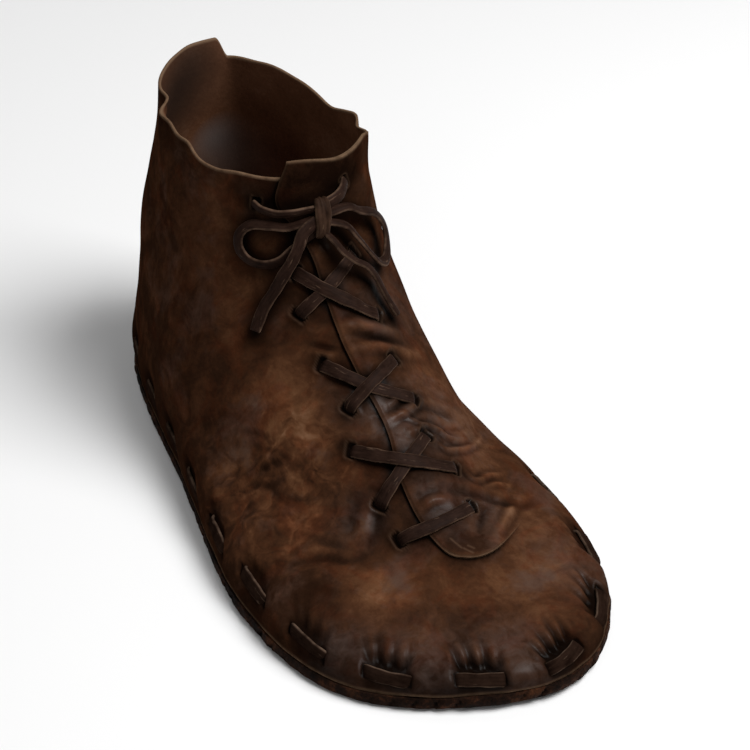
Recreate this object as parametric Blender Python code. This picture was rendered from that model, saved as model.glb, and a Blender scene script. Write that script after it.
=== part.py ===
"""Laced ankle boot of soft hide, right foot: a wrapped upper, a leather sole, thong stitches and a bow.

Metres, +Z up. The toe points to -Y and the heel to +Y, and the outer side of the foot is at -X.
The origin lies on the floor under the middle of the shoe.
"""
from collections import namedtuple

import bmesh
import bpy
import numpy as np

MM = 0.001

# Driving dimensions of the last
LENGTH = 284 * MM
BALL_WIDTH = 131 * MM
INSTEP_RISE = 74 * MM
BACK_RISE = 122 * MM
TOE_SPRING = 2.0 * MM
SPRING_START = 0.34 * LENGTH
ARCH_LIFT = 2.5 * MM
ARCH_AT = 0.08 * LENGTH
ARCH_HALF = 0.19 * LENGTH
ARCH_OUTER_SHARE = 0.3

# Hide, thongs and clearances
WALL = 2.2 * MM
FLAP_THICK = 2.2 * MM
FLAP_ROOT = 0.9 * MM
SOLE_THICK = 5.0 * MM
SOLE_MARGIN = 1.1 * MM
SOLE_EDGE_TUCK = 1.2 * MM
BED_RISE = 2.0 * MM
THONG_WIDTH = 5.0 * MM
THONG_THICK = 1.7 * MM
CORD_RADIUS = 1.5 * MM
GAP = 0.3 * MM
SEAT = SOLE_THICK + GAP

# Places along the foot where the sides are measured, as shares of a section's own length
STATIONS = {"toe": 0.10, "ball": 0.30, "waist": 0.58, "heel": 0.92}

# Middle of the shoe, in percent of the ball width from the line that the sides are measured from
MIDDLE = 0.4

# Each section is a closed ring through its front and back points.
# Places along the foot are percent of the length, sides percent of the ball width from the middle line,
# rises percent of the instep rise at the front and of the back rise at the back.
Section = namedtuple("Section", (
    "name front_at front_rise front_x back_at back_rise back_x "
    "out_toe out_ball out_waist out_heel in_heel in_waist in_ball in_toe"))
SECTIONS = (
    Section("feather", -50.2, 0, 10.5, 49.2, 0, 6, -35, -49, -40.6, -25.8, 35, 40.5, 50, 41),
    Section("stitch", -49.1, 8, 10.5, 49.8, 6.5, 6, -33, -47.6, -40.2, -25.2, 35, 39.5, 49, 39.5),
    Section("toe", -42.5, 16, 9, 50.2, 19, 7, -23.8, -40.1, -39, -23.2, 34.5, 39.5, 44.5, 33.5),
    Section("flap_tip", -31.5, 23, 6, 49.5, 31, 7, -15.5, -32, -36.5, -21.2, 33.5, 39.5, 39, 26.5),
    Section("vamp", -20.2, 45, 4.5, 48.4, 44, 7.5, -13, -28, -33.5, -19.6, 31.5, 38, 36, 22),
    Section("waist", -9.0, 69, 4.5, 47.4, 59, 8.5, -10.5, -24.5, -28.5, -17.8, 28.5, 36, 34.5, 20.5),
    Section("instep", 1.6, 100, 4.5, 46.3, 74, 9, -10, -21.5, -24, -14.5, 24.5, 34.5, 34.5, 20.5),
    Section("throat", 8.7, 135, 4.5, 45.3, 87, 10, -11.5, -20, -21, -11.5, 21, 32.5, 35, 24.5),
    Section("collar", 10.4, 161, 5.5, 44.9, 100, 10, -12, -19, -18.5, -10.5, 19.5, 30, 35, 26.5),
)
SIDES = ("toe", "ball", "waist", "heel")
RING_POINTS = 10
COLLAR = len(SECTIONS) - 1

# The collar's own edge: a tab at the back and a dip on the inner side
TAB_RISE = 8.5 * MM
TAB_START, TAB_FULL, TAB_LEAVE, TAB_END = 3.75, 4.65, 5.06, 5.44
DIP_DEPTH = 3.0 * MM
DIP_AT, DIP_HALF = 7.9, 1.3
RISE_BAND = 1.6

# Counts of the shell's grid
COLUMNS = 72
ROWS = 21

# Free edge of the front flap: place around the ring and section number, from the collar to the tip
FLAP_EDGE = ((0.30, 8.28), (0.46, 7.9), (0.50, 7.4), (0.18, 6.6), (0.19, 5.6), (0.09, 4.7), (0.24, 4.1),
             (0.27, 3.6), (0.16, 3.2), (-0.05, 3.06), (-0.35, 2.92), (-0.72, 2.76), (-1.1, 2.55))
# Line on the inner side of the foot where the flap runs into the upper
FLAP_ROOT_LINE = ((-1.6, 7.92), (-1.6, 7.5), (-1.6, 7.0), (-1.55, 6.4), (-1.5, 5.7), (-1.45, 5.1),
                  (-1.4, 4.6), (-1.4, 4.2), (-1.4, 3.8), (-1.4, 3.5), (-1.4, 3.2), (-1.35, 2.9), (-1.25, 2.6))
FLAP_ROWS = 40
FLAP_COLUMNS = 8
FLAP_FULL_SHARE = 0.72
# The flap's upper edge sags beside its corner, in section numbers
FLAP_SAG = 0.10
FLAP_SAG_AT, FLAP_SAG_HALF = -0.5, 0.35
FLAP_SAG_FROM = 7.2

# Lace slits: outer and inner ends of each strap as (place around, section number), and how many sections
# its middle sags towards the toe
Strap = namedtuple("Strap", "outer inner sag")
LACE_CROSSES = {
    "lace_cross_top": (Strap((0.56, 6.42), (-0.79, 5.58), 0.12), Strap((0.78, 5.84), (-0.62, 6.43), 0.04)),
    "lace_cross_middle": (Strap((0.59, 4.80), (-0.71, 5.15), 0.0), Strap((0.72, 5.33), (-0.72, 4.60), 0.12)),
    "lace_cross_low": (Strap((0.78, 4.29), (-0.74, 3.70), 0.12), Strap((0.70, 3.62), (-0.57, 4.29), 0.0)),
}
LACE_BAR = Strap((0.66, 3.23), (-0.59, 3.36), 0.05)
STRAP_STEPS = 8
STRAP_OVER_FLAP_AT = 0.42
STRAP_CLEAR = 0.5 * MM
CROSS_STEP = 0.6 * MM

# Stitches that hold the upper to the sole
STITCHES = 21
STITCH_RUN_UP = 0.87
STITCH_LENGTH = 18 * MM
STITCH_STEPS = 5
STITCH_CLEAR = 0.55 * MM
STITCH_FIRST_AT = -0.12
# Section number of a stitch by its distance around from the front, and how much its rear end is raised
STITCH_RISE = ((0.0, 1.00), (0.45, 0.88), (1.0, 0.91), (1.5, 1.03), (2.0, 1.24), (2.6, 1.20), (3.5, 1.05),
               (5.0, 0.95))
STITCH_SLANT = 0.6
SLANT_END, SLANT_BAND = 4.5, 2.0

# The bow: the knot and the routes of its lace.
# Each point is a place around the ring, a section number and a height above the upper in millimetres.
KNOT_AT = (-0.04, 7.08, 6.1)
KNOT_HALF = (3.4, 3.6, 7.2)
BOW_ROUTES = {
    "lace_run_outer": ((0.80, 7.41, 1.8), (0.69, 7.37, 3.6), (0.52, 7.32, 5.4), (0.32, 7.32, 6.6),
                       (0.08, 7.30, 5.6)),
    "lace_run_inner": ((-0.49, 7.55, 4.1), (-0.35, 7.47, 5.4), (-0.12, 7.37, 5.4)),
    "lace_loop_outer": ((0.08, 7.07, 6.0), (0.24, 7.04, 6.6), (0.43, 7.01, 6.0), (0.67, 7.04, 4.8),
                        (0.95, 7.00, 4.0), (1.20, 6.80, 3.4), (1.28, 6.57, 3.1), (1.15, 6.45, 3.2),
                        (0.89, 6.46, 3.6), (0.64, 6.55, 4.2), (0.41, 6.70, 4.8), (0.05, 6.88, 4.4)),
    "lace_loop_inner": ((-0.16, 7.12, 6.1), (-0.39, 7.11, 7.2), (-0.60, 6.92, 7.2), (-0.91, 6.74, 6.6),
                        (-1.23, 6.45, 5.8), (-1.33, 6.18, 5.2), (-1.22, 6.02, 5.0), (-0.96, 6.14, 5.4),
                        (-0.68, 6.39, 6.2), (-0.45, 6.66, 6.8), (-0.15, 6.88, 5.5)),
    "lace_end_outer": ((0.05, 6.88, 7.7), (0.28, 6.83, 9.4), (0.37, 6.67, 9.4), (0.47, 6.52, 8.6),
                       (0.61, 6.37, 7.4), (0.89, 6.14, 4.6), (1.17, 5.90, 2.6), (1.32, 5.71, 2.1),
                       (1.46, 5.48, 2.0)),
    "lace_end_inner": ((-0.07, 6.79, 6.9), (-0.11, 6.68, 8.6), (-0.18, 6.54, 8.6), (-0.33, 6.38, 8.2),
                       (-0.53, 6.24, 7.6), (-0.69, 6.06, 6.8), (-0.84, 5.84, 5.4), (-0.96, 5.63, 4.4),
                       (-1.08, 5.40, 3.8)),
}
CORD_STEP = 6.0 * MM

HIDE = ("hide", (0.075, 0.034, 0.017, 1.0), 0.55)
SOLE_HIDE = ("sole_hide", (0.030, 0.016, 0.009, 1.0), 0.75)
THONG = ("thong", (0.045, 0.031, 0.024, 1.0), 0.6)
LACE = ("lace", (0.050, 0.036, 0.029, 1.0), 0.6)


def smooth_step(value):
    value = np.clip(value, 0.0, 1.0)
    return value * value * (3.0 - 2.0 * value)


def cubic_between(before, start, end, after, share):
    """Catmull-Rom value between start and end."""
    return 0.5 * (
        2.0 * start
        + (end - before) * share
        + (2.0 * before - 5.0 * start + 4.0 * end - after) * share ** 2
        + (3.0 * start - before - 3.0 * end + after) * share ** 3)


def along_rows(rows, at):
    """Values of an open table at fractional row numbers."""
    rows = np.asarray(rows, float)
    padded = np.vstack([2.0 * rows[0] - rows[1], rows, 2.0 * rows[-1] - rows[-2]])
    first = np.clip(np.floor(at).astype(int), 0, len(rows) - 2)
    share = (at - first)[:, None]
    return cubic_between(padded[first], padded[first + 1], padded[first + 2], padded[first + 3], share)


def ring_controls(values):
    """The ten control points of each section ring, in metres."""
    section = dict(zip(Section._fields[1:], values.T))
    front = np.stack([
        (section["front_x"] - MIDDLE) * BALL_WIDTH / 100,
        section["front_at"] * LENGTH / 100,
        SEAT + section["front_rise"] * INSTEP_RISE / 100], axis=1)
    back = np.stack([
        (section["back_x"] - MIDDLE) * BALL_WIDTH / 100,
        section["back_at"] * LENGTH / 100,
        SEAT + section["back_rise"] * BACK_RISE / 100], axis=1)

    def side_point(side, station):
        point = front + (back - front) * STATIONS[station]
        point[:, 0] = (section[side + "_" + station] - MIDDLE) * BALL_WIDTH / 100
        return point

    outer = [side_point("out", station) for station in SIDES]
    inner = [side_point("in", station) for station in reversed(SIDES)]
    return np.stack([front, *outer, back, *inner], axis=1)


def collar_rise(around):
    """Extra height of the collar's edge at a place around the ring."""
    place = np.mod(around, RING_POINTS)
    tab = smooth_step((place - TAB_START) / (TAB_FULL - TAB_START))
    tab = tab * (1.0 - smooth_step((place - TAB_LEAVE) / (TAB_END - TAB_LEAVE)))
    dip = smooth_step(1.0 - np.abs(place - DIP_AT) / DIP_HALF)
    return TAB_RISE * tab - DIP_DEPTH * dip


def last_point(around, up):
    """Points of the upper's outer face. around runs from the front by the outer side, up counts sections."""
    around = np.asarray(around, float)
    up = np.asarray(up, float)
    values = along_rows([section[1:] for section in SECTIONS], up)
    controls = ring_controls(values)
    first = np.floor(around).astype(int)
    share = (around - first)[:, None]
    rows = np.arange(len(around))
    corners = [controls[rows, (first + step) % RING_POINTS] for step in (-1, 0, 1, 2)]
    points = cubic_between(*corners, share)
    band = smooth_step((up - COLLAR + RISE_BAND) / RISE_BAND)
    points[:, 2] += collar_rise(around) * band
    return points


def last_normal(around, up):
    """Outward unit normals of the upper's outer face."""
    small = 0.02
    across = last_point(around + small, up) - last_point(around - small, up)
    rising = last_point(around, up + small) - last_point(around, up - small)
    normal = np.cross(rising, across)
    return normal / np.linalg.norm(normal, axis=1)[:, None]


def toe_spring(points):
    """Points lifted towards the tip of the toe."""
    reach = (-points[:, 1] - SPRING_START) / (LENGTH / 2 - SPRING_START)
    lifted = points.copy()
    lifted[:, 2] += TOE_SPRING * np.clip(reach, 0.0, None) ** 2
    return lifted


def skin(around, up, lift):
    """Points at a height above the upper's outer face, which may differ from point to point."""
    around = np.asarray(around, float)
    up = np.asarray(up, float)
    lift = np.broadcast_to(np.asarray(lift, float), around.shape)
    return toe_spring(last_point(around, up) + last_normal(around, up) * lift[:, None])


def make_material(finish):
    name, colour, roughness = finish
    material = bpy.data.materials.get(name)
    if material is None:
        material = bpy.data.materials.new(name)
        material.use_nodes = True
        shader = material.node_tree.nodes["Principled BSDF"]
        shader.inputs["Base Color"].default_value = colour
        shader.inputs["Roughness"].default_value = roughness
        shader.inputs["Metallic"].default_value = 0.0
    return material


def mesh_object(name, points, faces, finish):
    """A closed mesh as a named object with smooth faces that point out."""
    mesh = bpy.data.meshes.new(name)
    mesh.from_pydata([tuple(point) for point in points], [], faces)
    shape = bmesh.new()
    shape.from_mesh(mesh)
    bmesh.ops.recalc_face_normals(shape, faces=shape.faces)
    shape.to_mesh(mesh)
    shape.free()
    mesh.shade_smooth()
    mesh.set_sharp_from_angle(angle=np.radians(40))
    mesh.materials.append(make_material(finish))
    thing = bpy.data.objects.new(name, mesh)
    bpy.context.scene.collection.objects.link(thing)
    return thing


def join_form(thing, form):
    """Union a hidden form into an object."""
    form.hide_render = True
    form.display_type = "WIRE"
    union = thing.modifiers.new("join_" + form.name, "BOOLEAN")
    union.operation = "UNION"
    union.solver = "EXACT"
    union.object = form


def sheet_faces(rows, columns, low, high):
    """Faces of a closed plate between two grids of points that start at the indices low and high."""
    faces = []
    for row in range(rows - 1):
        for column in range(columns - 1):
            corner = row * columns + column
            quad = (corner, corner + 1, corner + columns + 1, corner + columns)
            faces.append(tuple(high + index for index in quad))
            faces.append(tuple(low + index for index in reversed(quad)))
    border = [column for column in range(columns)]
    border += [row * columns + columns - 1 for row in range(1, rows)]
    border += [(rows - 1) * columns + column for column in range(columns - 2, -1, -1)]
    border += [row * columns for row in range(rows - 2, 0, -1)]
    for here, there in zip(border, border[1:] + border[:1]):
        faces.append((low + here, low + there, high + there, high + here))
    return faces


def make_upper():
    """The hollow upper, with its front flap as a step in the wall."""
    around = np.linspace(0.0, RING_POINTS, COLUMNS, endpoint=False)
    up = np.linspace(0.0, COLLAR, ROWS)
    grid_around, grid_up = (grid.ravel() for grid in np.meshgrid(around, up))
    outside = skin(grid_around, grid_up, 0.0)
    inside = skin(grid_around, grid_up, -WALL)
    inside[:COLUMNS, 2] = outside[:COLUMNS, 2]
    top = slice((ROWS - 1) * COLUMNS, None)
    inside[top, 2] = outside[top, 2]
    inner = len(outside)
    faces = []
    for column in range(COLUMNS):
        following = (column + 1) % COLUMNS
        for row in range(ROWS - 1):
            low = row * COLUMNS
            high = low + COLUMNS
            faces.append((low + column, low + following, high + following, high + column))
            faces.append((inner + high + column, inner + high + following,
                          inner + low + following, inner + low + column))
        for edge in (0, (ROWS - 1) * COLUMNS):
            faces.append((edge + column, edge + following, inner + edge + following, inner + edge + column))
    upper = mesh_object("upper", np.vstack([outside, inside]), faces, HIDE)
    join_form(upper, make_flap_form())
    return upper


def make_flap_form():
    """The lapped front edge: thick at its free edge, running out into the wall on the inner side."""
    last_row = len(FLAP_EDGE) - 1
    at = np.linspace(0.0, last_row, FLAP_ROWS)
    edge = along_rows(FLAP_EDGE, at)
    root = along_rows(FLAP_ROOT_LINE, at)
    share = np.linspace(0.0, 1.0, FLAP_COLUMNS)
    places = edge[:, None, :] + (root - edge)[:, None, :] * share[None, :, None]
    around, up = places.reshape(-1, 2).T
    sag = np.exp(-((around - FLAP_SAG_AT) / FLAP_SAG_HALF) ** 2)
    up = up - FLAP_SAG * sag * smooth_step((up - FLAP_SAG_FROM) / (COLLAR - FLAP_SAG_FROM))
    fade = smooth_step((share - FLAP_FULL_SHARE) / (1.0 - FLAP_FULL_SHARE))
    lift = np.tile(FLAP_THICK - (FLAP_THICK + FLAP_ROOT / 2) * fade, FLAP_ROWS)
    low = skin(around, up, -FLAP_ROOT)
    high = skin(around, up, lift)
    faces = sheet_faces(FLAP_ROWS, FLAP_COLUMNS, 0, len(low))
    return mesh_object("flap_form", np.vstack([low, high]), faces, HIDE)


def arch_lift(points):
    """How far the underside leaves the floor at the waist, more on the inner side of the foot."""
    reach = np.clip(np.abs(points[:, 1] - ARCH_AT) / ARCH_HALF, 0.0, 1.0)
    inner = smooth_step(points[:, 0] / BALL_WIDTH + 0.5)
    return ARCH_LIFT * np.cos(reach * np.pi / 2) ** 2 * (ARCH_OUTER_SHARE + (1 - ARCH_OUTER_SHARE) * inner)


def make_sole():
    """The sole: a flat slab with a turned lower edge and a low bed that fits inside the upper."""
    around = np.linspace(0.0, RING_POINTS, COLUMNS, endpoint=False)
    feather = np.zeros(COLUMNS)
    flat_out = last_normal(around, feather)
    flat_out[:, 2] = 0.0
    flat_out /= np.linalg.norm(flat_out, axis=1)[:, None]
    outline = last_point(around, feather)

    def ring(outset, height):
        points = outline + flat_out * outset
        points[:, 2] = height
        return points

    bed_inset = -(WALL + 2 * GAP + BED_RISE)
    underside = ring(SOLE_MARGIN - SOLE_EDGE_TUCK, 0.0)
    underside[:, 2] = arch_lift(underside)
    lower_side = ring(SOLE_MARGIN, SOLE_EDGE_TUCK)
    lower_side[:, 2] += arch_lift(lower_side)
    rings = [
        underside,
        lower_side,
        ring(SOLE_MARGIN, SOLE_THICK - GAP),
        ring(SOLE_MARGIN - GAP, SOLE_THICK),
        ring(bed_inset + BED_RISE, SOLE_THICK),
        ring(bed_inset, SOLE_THICK + BED_RISE),
    ]
    faces = []
    for level in range(len(rings) - 1):
        low = level * COLUMNS
        high = low + COLUMNS
        for column in range(COLUMNS):
            following = (column + 1) % COLUMNS
            faces.append((low + column, low + following, high + following, high + column))
    half = COLUMNS // 2
    for start in (0, (len(rings) - 1) * COLUMNS):
        for column in range(half):
            corners = (column, column + 1, COLUMNS - column - 1, (COLUMNS - column) % COLUMNS)
            corners = tuple(dict.fromkeys(corners))
            faces.append(tuple(start + corner for corner in corners))
    return mesh_object("sole", toe_spring(np.vstack(rings)), faces, SOLE_HIDE)


def ribbon(points, normals, thick):
    """Corner points and faces of a flat thong along a path."""
    tangent = np.gradient(points, axis=0)
    side = np.cross(normals, tangent)
    side /= np.linalg.norm(side, axis=1)[:, None]
    half = side * THONG_WIDTH / 2
    raised = normals * thick
    low, high = points - half, points + half
    corners = np.stack([low, high, high + raised, low + raised], axis=1)
    count = len(points)
    faces = [(3, 2, 1, 0), tuple(4 * (count - 1) + corner for corner in range(4))]
    for step in range(count - 1):
        for corner in range(4):
            following = (corner + 1) % 4
            here = 4 * step
            faces.append((here + corner, here + following, here + 4 + following, here + 4 + corner))
    return corners.reshape(-1, 3), faces


def straight_way(strap, share):
    """Places on the upper under a strap: a straight line between its ends that sags towards the toe."""
    around = strap.outer[0] + (strap.inner[0] - strap.outer[0]) * share
    up = strap.outer[1] + (strap.inner[1] - strap.outer[1]) * share
    ends = last_point(around[[0, -1]], up[[0, -1]])
    middle = len(share) // 2
    beside = np.cross(ends[1] - ends[0], last_normal(around[[middle]], up[[middle]])[0])
    small = 0.02
    for _ in range(4):
        off_line = (last_point(around, up) - ends[0]) @ beside
        slope = (last_point(around, up + small) - last_point(around, up - small)) @ beside / (2 * small)
        up = up - off_line / slope
    return around, up - strap.sag * np.sin(np.pi * share)


def make_strap(name, strap, extra):
    """A lace strap from an outer to an inner slit, over the step of the flap."""
    share = np.linspace(0.0, 1.0, STRAP_STEPS)
    around, up = straight_way(strap, share)
    climb = (strap.outer[0] - around) / (strap.outer[0] - STRAP_OVER_FLAP_AT)
    hump = np.sin(np.pi * share) ** 2
    lift = STRAP_CLEAR + FLAP_THICK * smooth_step(climb) + extra * hump
    points, faces = ribbon(skin(around, up, lift), last_normal(around, up), THONG_THICK)
    return mesh_object(name, points, faces, LACE)


def make_lacing():
    """Three crossings, each of two straps joined where they meet, and a bar at the foot of the flap."""
    for name, (over, under) in LACE_CROSSES.items():
        crossing = make_strap(name, over, CROSS_STEP)
        join_form(crossing, make_strap(name + "_under", under, 0.0))
    make_strap("lace_bar", LACE_BAR, 0.0)


def stitch_up(around):
    """Section numbers along a stitch: its own height, with the rear end raised."""
    signed = np.mod(around + RING_POINTS / 2, RING_POINTS) - RING_POINTS / 2
    centre = signed[len(signed) // 2]
    reach = abs(centre)
    rise = np.interp(reach, *np.array(STITCH_RISE).T)
    slant = STITCH_SLANT * np.sign(centre) * smooth_step((SLANT_END - reach) / SLANT_BAND)
    return rise + slant * (signed - centre)


def make_stitches():
    """Thong stitches round the foot of the upper, evenly spaced along its edge."""
    samples = 400
    around = np.linspace(0.0, RING_POINTS, samples)
    edge = last_point(around, np.full(samples, STITCH_RUN_UP))
    run = np.concatenate([[0.0], np.cumsum(np.linalg.norm(np.diff(edge, axis=0), axis=1))])
    first = np.interp(STITCH_FIRST_AT % RING_POINTS, around, run)
    offsets = np.linspace(-0.5, 0.5, STITCH_STEPS) * STITCH_LENGTH
    for number in range(STITCHES):
        places = np.mod(first + run[-1] * number / STITCHES + offsets, run[-1])
        at = np.interp(places, run, around)
        up = stitch_up(at)
        points, faces = ribbon(skin(at, up, STITCH_CLEAR), last_normal(at, up), THONG_THICK)
        mesh_object(f"sole_stitch_{number + 1:02d}", points, faces, THONG)


def make_knot():
    """The bow's knot, leaning with the throat."""
    around, up, height = (np.array([value]) for value in KNOT_AT)
    normal = last_normal(around, up)[0]
    mesh = bpy.data.meshes.new("lace_knot")
    shape = bmesh.new()
    bmesh.ops.create_uvsphere(shape, u_segments=14, v_segments=8, radius=1.0)
    bmesh.ops.scale(shape, vec=[half * MM for half in KNOT_HALF], verts=shape.verts)
    shape.to_mesh(mesh)
    shape.free()
    mesh.shade_smooth()
    mesh.materials.append(make_material(LACE))
    knot = bpy.data.objects.new("lace_knot", mesh)
    knot.location = skin(around, up, height * MM)[0]
    knot.rotation_euler = (np.arctan2(normal[2], normal[1]) - np.pi, 0.0, 0.0)
    bpy.context.scene.collection.objects.link(knot)


def make_cord(name, route):
    """A round cord along a smooth curve through the route's points."""
    around, up, height = np.array(route).T
    route = skin(around, up, height * MM)
    reach = np.linalg.norm(np.diff(route, axis=0), axis=1).sum()
    count = max(4, int(round(reach / CORD_STEP)) + 1)
    points = along_rows(route, np.linspace(0.0, len(route) - 1, count))
    curve = bpy.data.curves.new(name, "CURVE")
    curve.dimensions = "3D"
    curve.bevel_depth = CORD_RADIUS
    curve.bevel_resolution = 2
    curve.use_fill_caps = True
    spline = curve.splines.new("POLY")
    spline.points.add(count - 1)
    for spot, point in zip(spline.points, points):
        spot.co = (*point, 1.0)
    curve.materials.append(make_material(LACE))
    cord = bpy.data.objects.new(name, curve)
    bpy.context.scene.collection.objects.link(cord)


def main():
    for thing in list(bpy.data.objects):
        bpy.data.objects.remove(thing)
    make_upper()
    make_sole()
    make_stitches()
    make_lacing()
    make_knot()
    for name, route in BOW_ROUTES.items():
        make_cord(name, route)


main()
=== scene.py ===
"""Looks of the laced ankle shoe: creased hide, lapped front, thong stitches, flat laces and a bow.

Metres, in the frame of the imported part: the toe points to -Y, the outer side of the foot is at -X.
Places on the upper are given as (around, up): around runs from the front by the outer side, ten to a ring,
and up counts the sections from the sole to the collar.
"""
from collections import namedtuple

import bpy
import numpy as np
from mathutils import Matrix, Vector, noise


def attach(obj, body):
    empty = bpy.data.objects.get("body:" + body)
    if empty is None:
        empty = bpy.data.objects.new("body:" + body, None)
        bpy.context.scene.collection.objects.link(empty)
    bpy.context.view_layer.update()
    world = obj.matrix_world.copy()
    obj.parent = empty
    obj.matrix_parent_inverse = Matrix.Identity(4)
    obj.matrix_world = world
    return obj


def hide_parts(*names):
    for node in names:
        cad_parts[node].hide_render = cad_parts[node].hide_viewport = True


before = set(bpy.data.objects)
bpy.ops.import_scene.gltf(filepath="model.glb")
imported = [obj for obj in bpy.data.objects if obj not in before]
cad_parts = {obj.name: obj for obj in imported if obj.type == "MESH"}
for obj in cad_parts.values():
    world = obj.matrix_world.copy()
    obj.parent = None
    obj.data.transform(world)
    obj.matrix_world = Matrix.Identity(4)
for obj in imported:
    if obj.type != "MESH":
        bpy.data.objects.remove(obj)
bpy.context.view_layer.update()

MM = 0.001

# Driving dimensions of the last, as in the part's source
LENGTH = 284 * MM
BALL_WIDTH = 131 * MM
INSTEP_RISE = 74 * MM
BACK_RISE = 122 * MM
TOE_SPRING = 2.0 * MM
SPRING_START = 0.34 * LENGTH
ARCH_LIFT = 2.5 * MM
ARCH_AT = 0.08 * LENGTH
ARCH_HALF = 0.19 * LENGTH
ARCH_OUTER_SHARE = 0.3
WALL = 2.2 * MM
SOLE_THICK = 5.0 * MM
SOLE_MARGIN = 1.1 * MM
SOLE_EDGE_TUCK = 1.2 * MM
BED_RISE = 2.0 * MM
GAP = 0.3 * MM
SEAT = SOLE_THICK + GAP
STATIONS = {"toe": 0.10, "ball": 0.30, "waist": 0.58, "heel": 0.92}
SIDES = ("toe", "ball", "waist", "heel")
MIDDLE = 0.4
RING_POINTS = 10

# Each section is a closed ring through its front and back points, in percent of the driving dimensions
Section = namedtuple("Section", (
    "name front_at front_rise front_x back_at back_rise back_x "
    "out_toe out_ball out_waist out_heel in_heel in_waist in_ball in_toe"))
SECTIONS = (
    Section("feather", -50.2, 0, 10.5, 49.2, 0, 6, -35, -49, -40.6, -25.8, 35, 40.5, 50, 41),
    Section("stitch", -49.1, 8, 10.5, 49.8, 6.5, 6, -33, -47.6, -40.2, -25.2, 35, 39.5, 49, 39.5),
    Section("toe", -42.5, 16, 9, 50.2, 19, 7, -23.8, -40.1, -39, -23.2, 34.5, 39.5, 44.5, 33.5),
    Section("flap_tip", -31.5, 23, 6, 49.5, 31, 7, -15.5, -32, -36.5, -21.2, 33.5, 39.5, 39, 26.5),
    Section("vamp", -20.2, 45, 4.5, 48.4, 44, 7.5, -13, -28, -33.5, -19.6, 31.5, 38, 36, 22),
    Section("waist", -9.0, 69, 4.5, 47.4, 59, 8.5, -10.5, -24.5, -28.5, -17.8, 28.5, 36, 34.5, 20.5),
    Section("instep", 1.6, 100, 4.5, 46.3, 74, 9, -10, -21.5, -24, -14.5, 24.5, 34.5, 34.5, 20.5),
    Section("throat", 8.7, 135, 4.5, 45.3, 87, 10, -11.5, -20, -21, -11.5, 21, 32.5, 35, 24.5),
    Section("collar", 10.4, 161, 5.5, 44.9, 100, 10, -12, -19, -18.5, -10.5, 19.5, 30, 35, 26.5),
)
COLLAR = len(SECTIONS) - 1

# The collar's own edge: a tab at the back, a dip on the inner side, and the kinks of the cut edge
TAB_RISE = 8.5 * MM
TAB_START, TAB_FULL, TAB_LEAVE, TAB_END = 3.75, 4.65, 5.06, 5.44
DIP_DEPTH = 3.0 * MM
DIP_AT, DIP_HALF = 7.9, 1.3
RISE_BAND = 1.6
Kink = namedtuple("Kink", "at half out rise")
KINKS = (
    Kink(3.56, 0.20, -2.9, 0.4), Kink(3.24, 0.15, 2.2, 0.0), Kink(2.36, 0.22, -0.6, 1.8),
    Kink(1.85, 0.45, 0.0, -2.0), Kink(0.50, 0.32, 0.0, -1.6), Kink(-1.10, 0.25, -0.5, 1.5),
    Kink(-1.85, 0.24, -2.8, -0.4), Kink(-2.20, 0.15, 0.3, 1.0), Kink(-2.72, 0.28, -0.4, -3.0),
    Kink(-3.58, 0.30, 0.0, 1.2))
KINK_BAND = 1.3

# The lapped front edge: its free edge and the line where it runs into the upper
FLAP_EDGE = ((0.30, 8.28), (0.46, 7.9), (0.50, 7.4), (0.18, 6.6), (0.19, 5.6), (0.09, 4.7),
             (0.24, 4.1), (0.27, 3.6), (0.16, 3.2), (-0.05, 3.06), (-0.35, 2.92), (-0.72, 2.76), (-1.1, 2.55))
FLAP_ROOT_LINE = ((-1.6, 8.0), (-1.6, 7.5), (-1.6, 7.0), (-1.55, 6.4), (-1.5, 5.7), (-1.45, 5.1),
                  (-1.4, 4.6), (-1.4, 4.2), (-1.4, 3.8), (-1.4, 3.5), (-1.4, 3.2), (-1.35, 2.9), (-1.25, 2.6))
FLAP_THICK = 1.6 * MM
FLAP_ROOT_DIVE = 0.5 * MM
# The flap's upper edge sags beside its corner, in section numbers
FLAP_SAG = 0.10
FLAP_SAG_AT, FLAP_SAG_HALF = -0.5, 0.35
FLAP_SAG_FROM = 7.2

# Lace slits: outer and inner ends of each strap and its sag, the upper strap of a crossing first
Strap = namedtuple("Strap", "outer inner sag")
LACE_CROSSES = {
    "lace_cross_top": (Strap((0.56, 6.42), (-0.79, 5.58), 0.12), Strap((0.78, 5.84), (-0.62, 6.43), 0.04)),
    "lace_cross_middle": (Strap((0.59, 4.80), (-0.71, 5.15), 0.0), Strap((0.72, 5.33), (-0.72, 4.60), 0.12)),
    "lace_cross_low": (Strap((0.78, 4.29), (-0.74, 3.70), 0.12), Strap((0.70, 3.62), (-0.57, 4.29), 0.0)),
}
LACE_BAR = Strap((0.66, 3.23), (-0.59, 3.36), 0.05)
STRAP_OVER_FLAP_AT = 0.42
STRAP_PRESS = 0.4 * MM
CROSS_STEP = 0.6 * MM
THONG_WIDTH = 5.0 * MM
THONG_THICK = 1.3 * MM

# Stitches that hold the upper to the sole
STITCHES = 21
STITCH_RUN_UP = 0.87
STITCH_LENGTH = 16.4 * MM
STITCH_WIDTH = 4.9 * MM
STITCH_SEAT = 0.55 * MM
STITCH_DIVE = 2.2 * MM
STITCH_THICK = 1.5 * MM
STITCH_FIRST_AT = -0.12
# Section number of a stitch by its distance around from the front, and how much its rear end is raised
STITCH_RISE = ((0.0, 1.00), (0.45, 0.88), (1.0, 0.91), (1.5, 1.03), (2.0, 1.24), (2.6, 1.20), (3.5, 1.05),
               (5.0, 0.95))
STITCH_SLANT = 0.6
SLANT_END, SLANT_BAND = 4.5, 2.0

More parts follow.
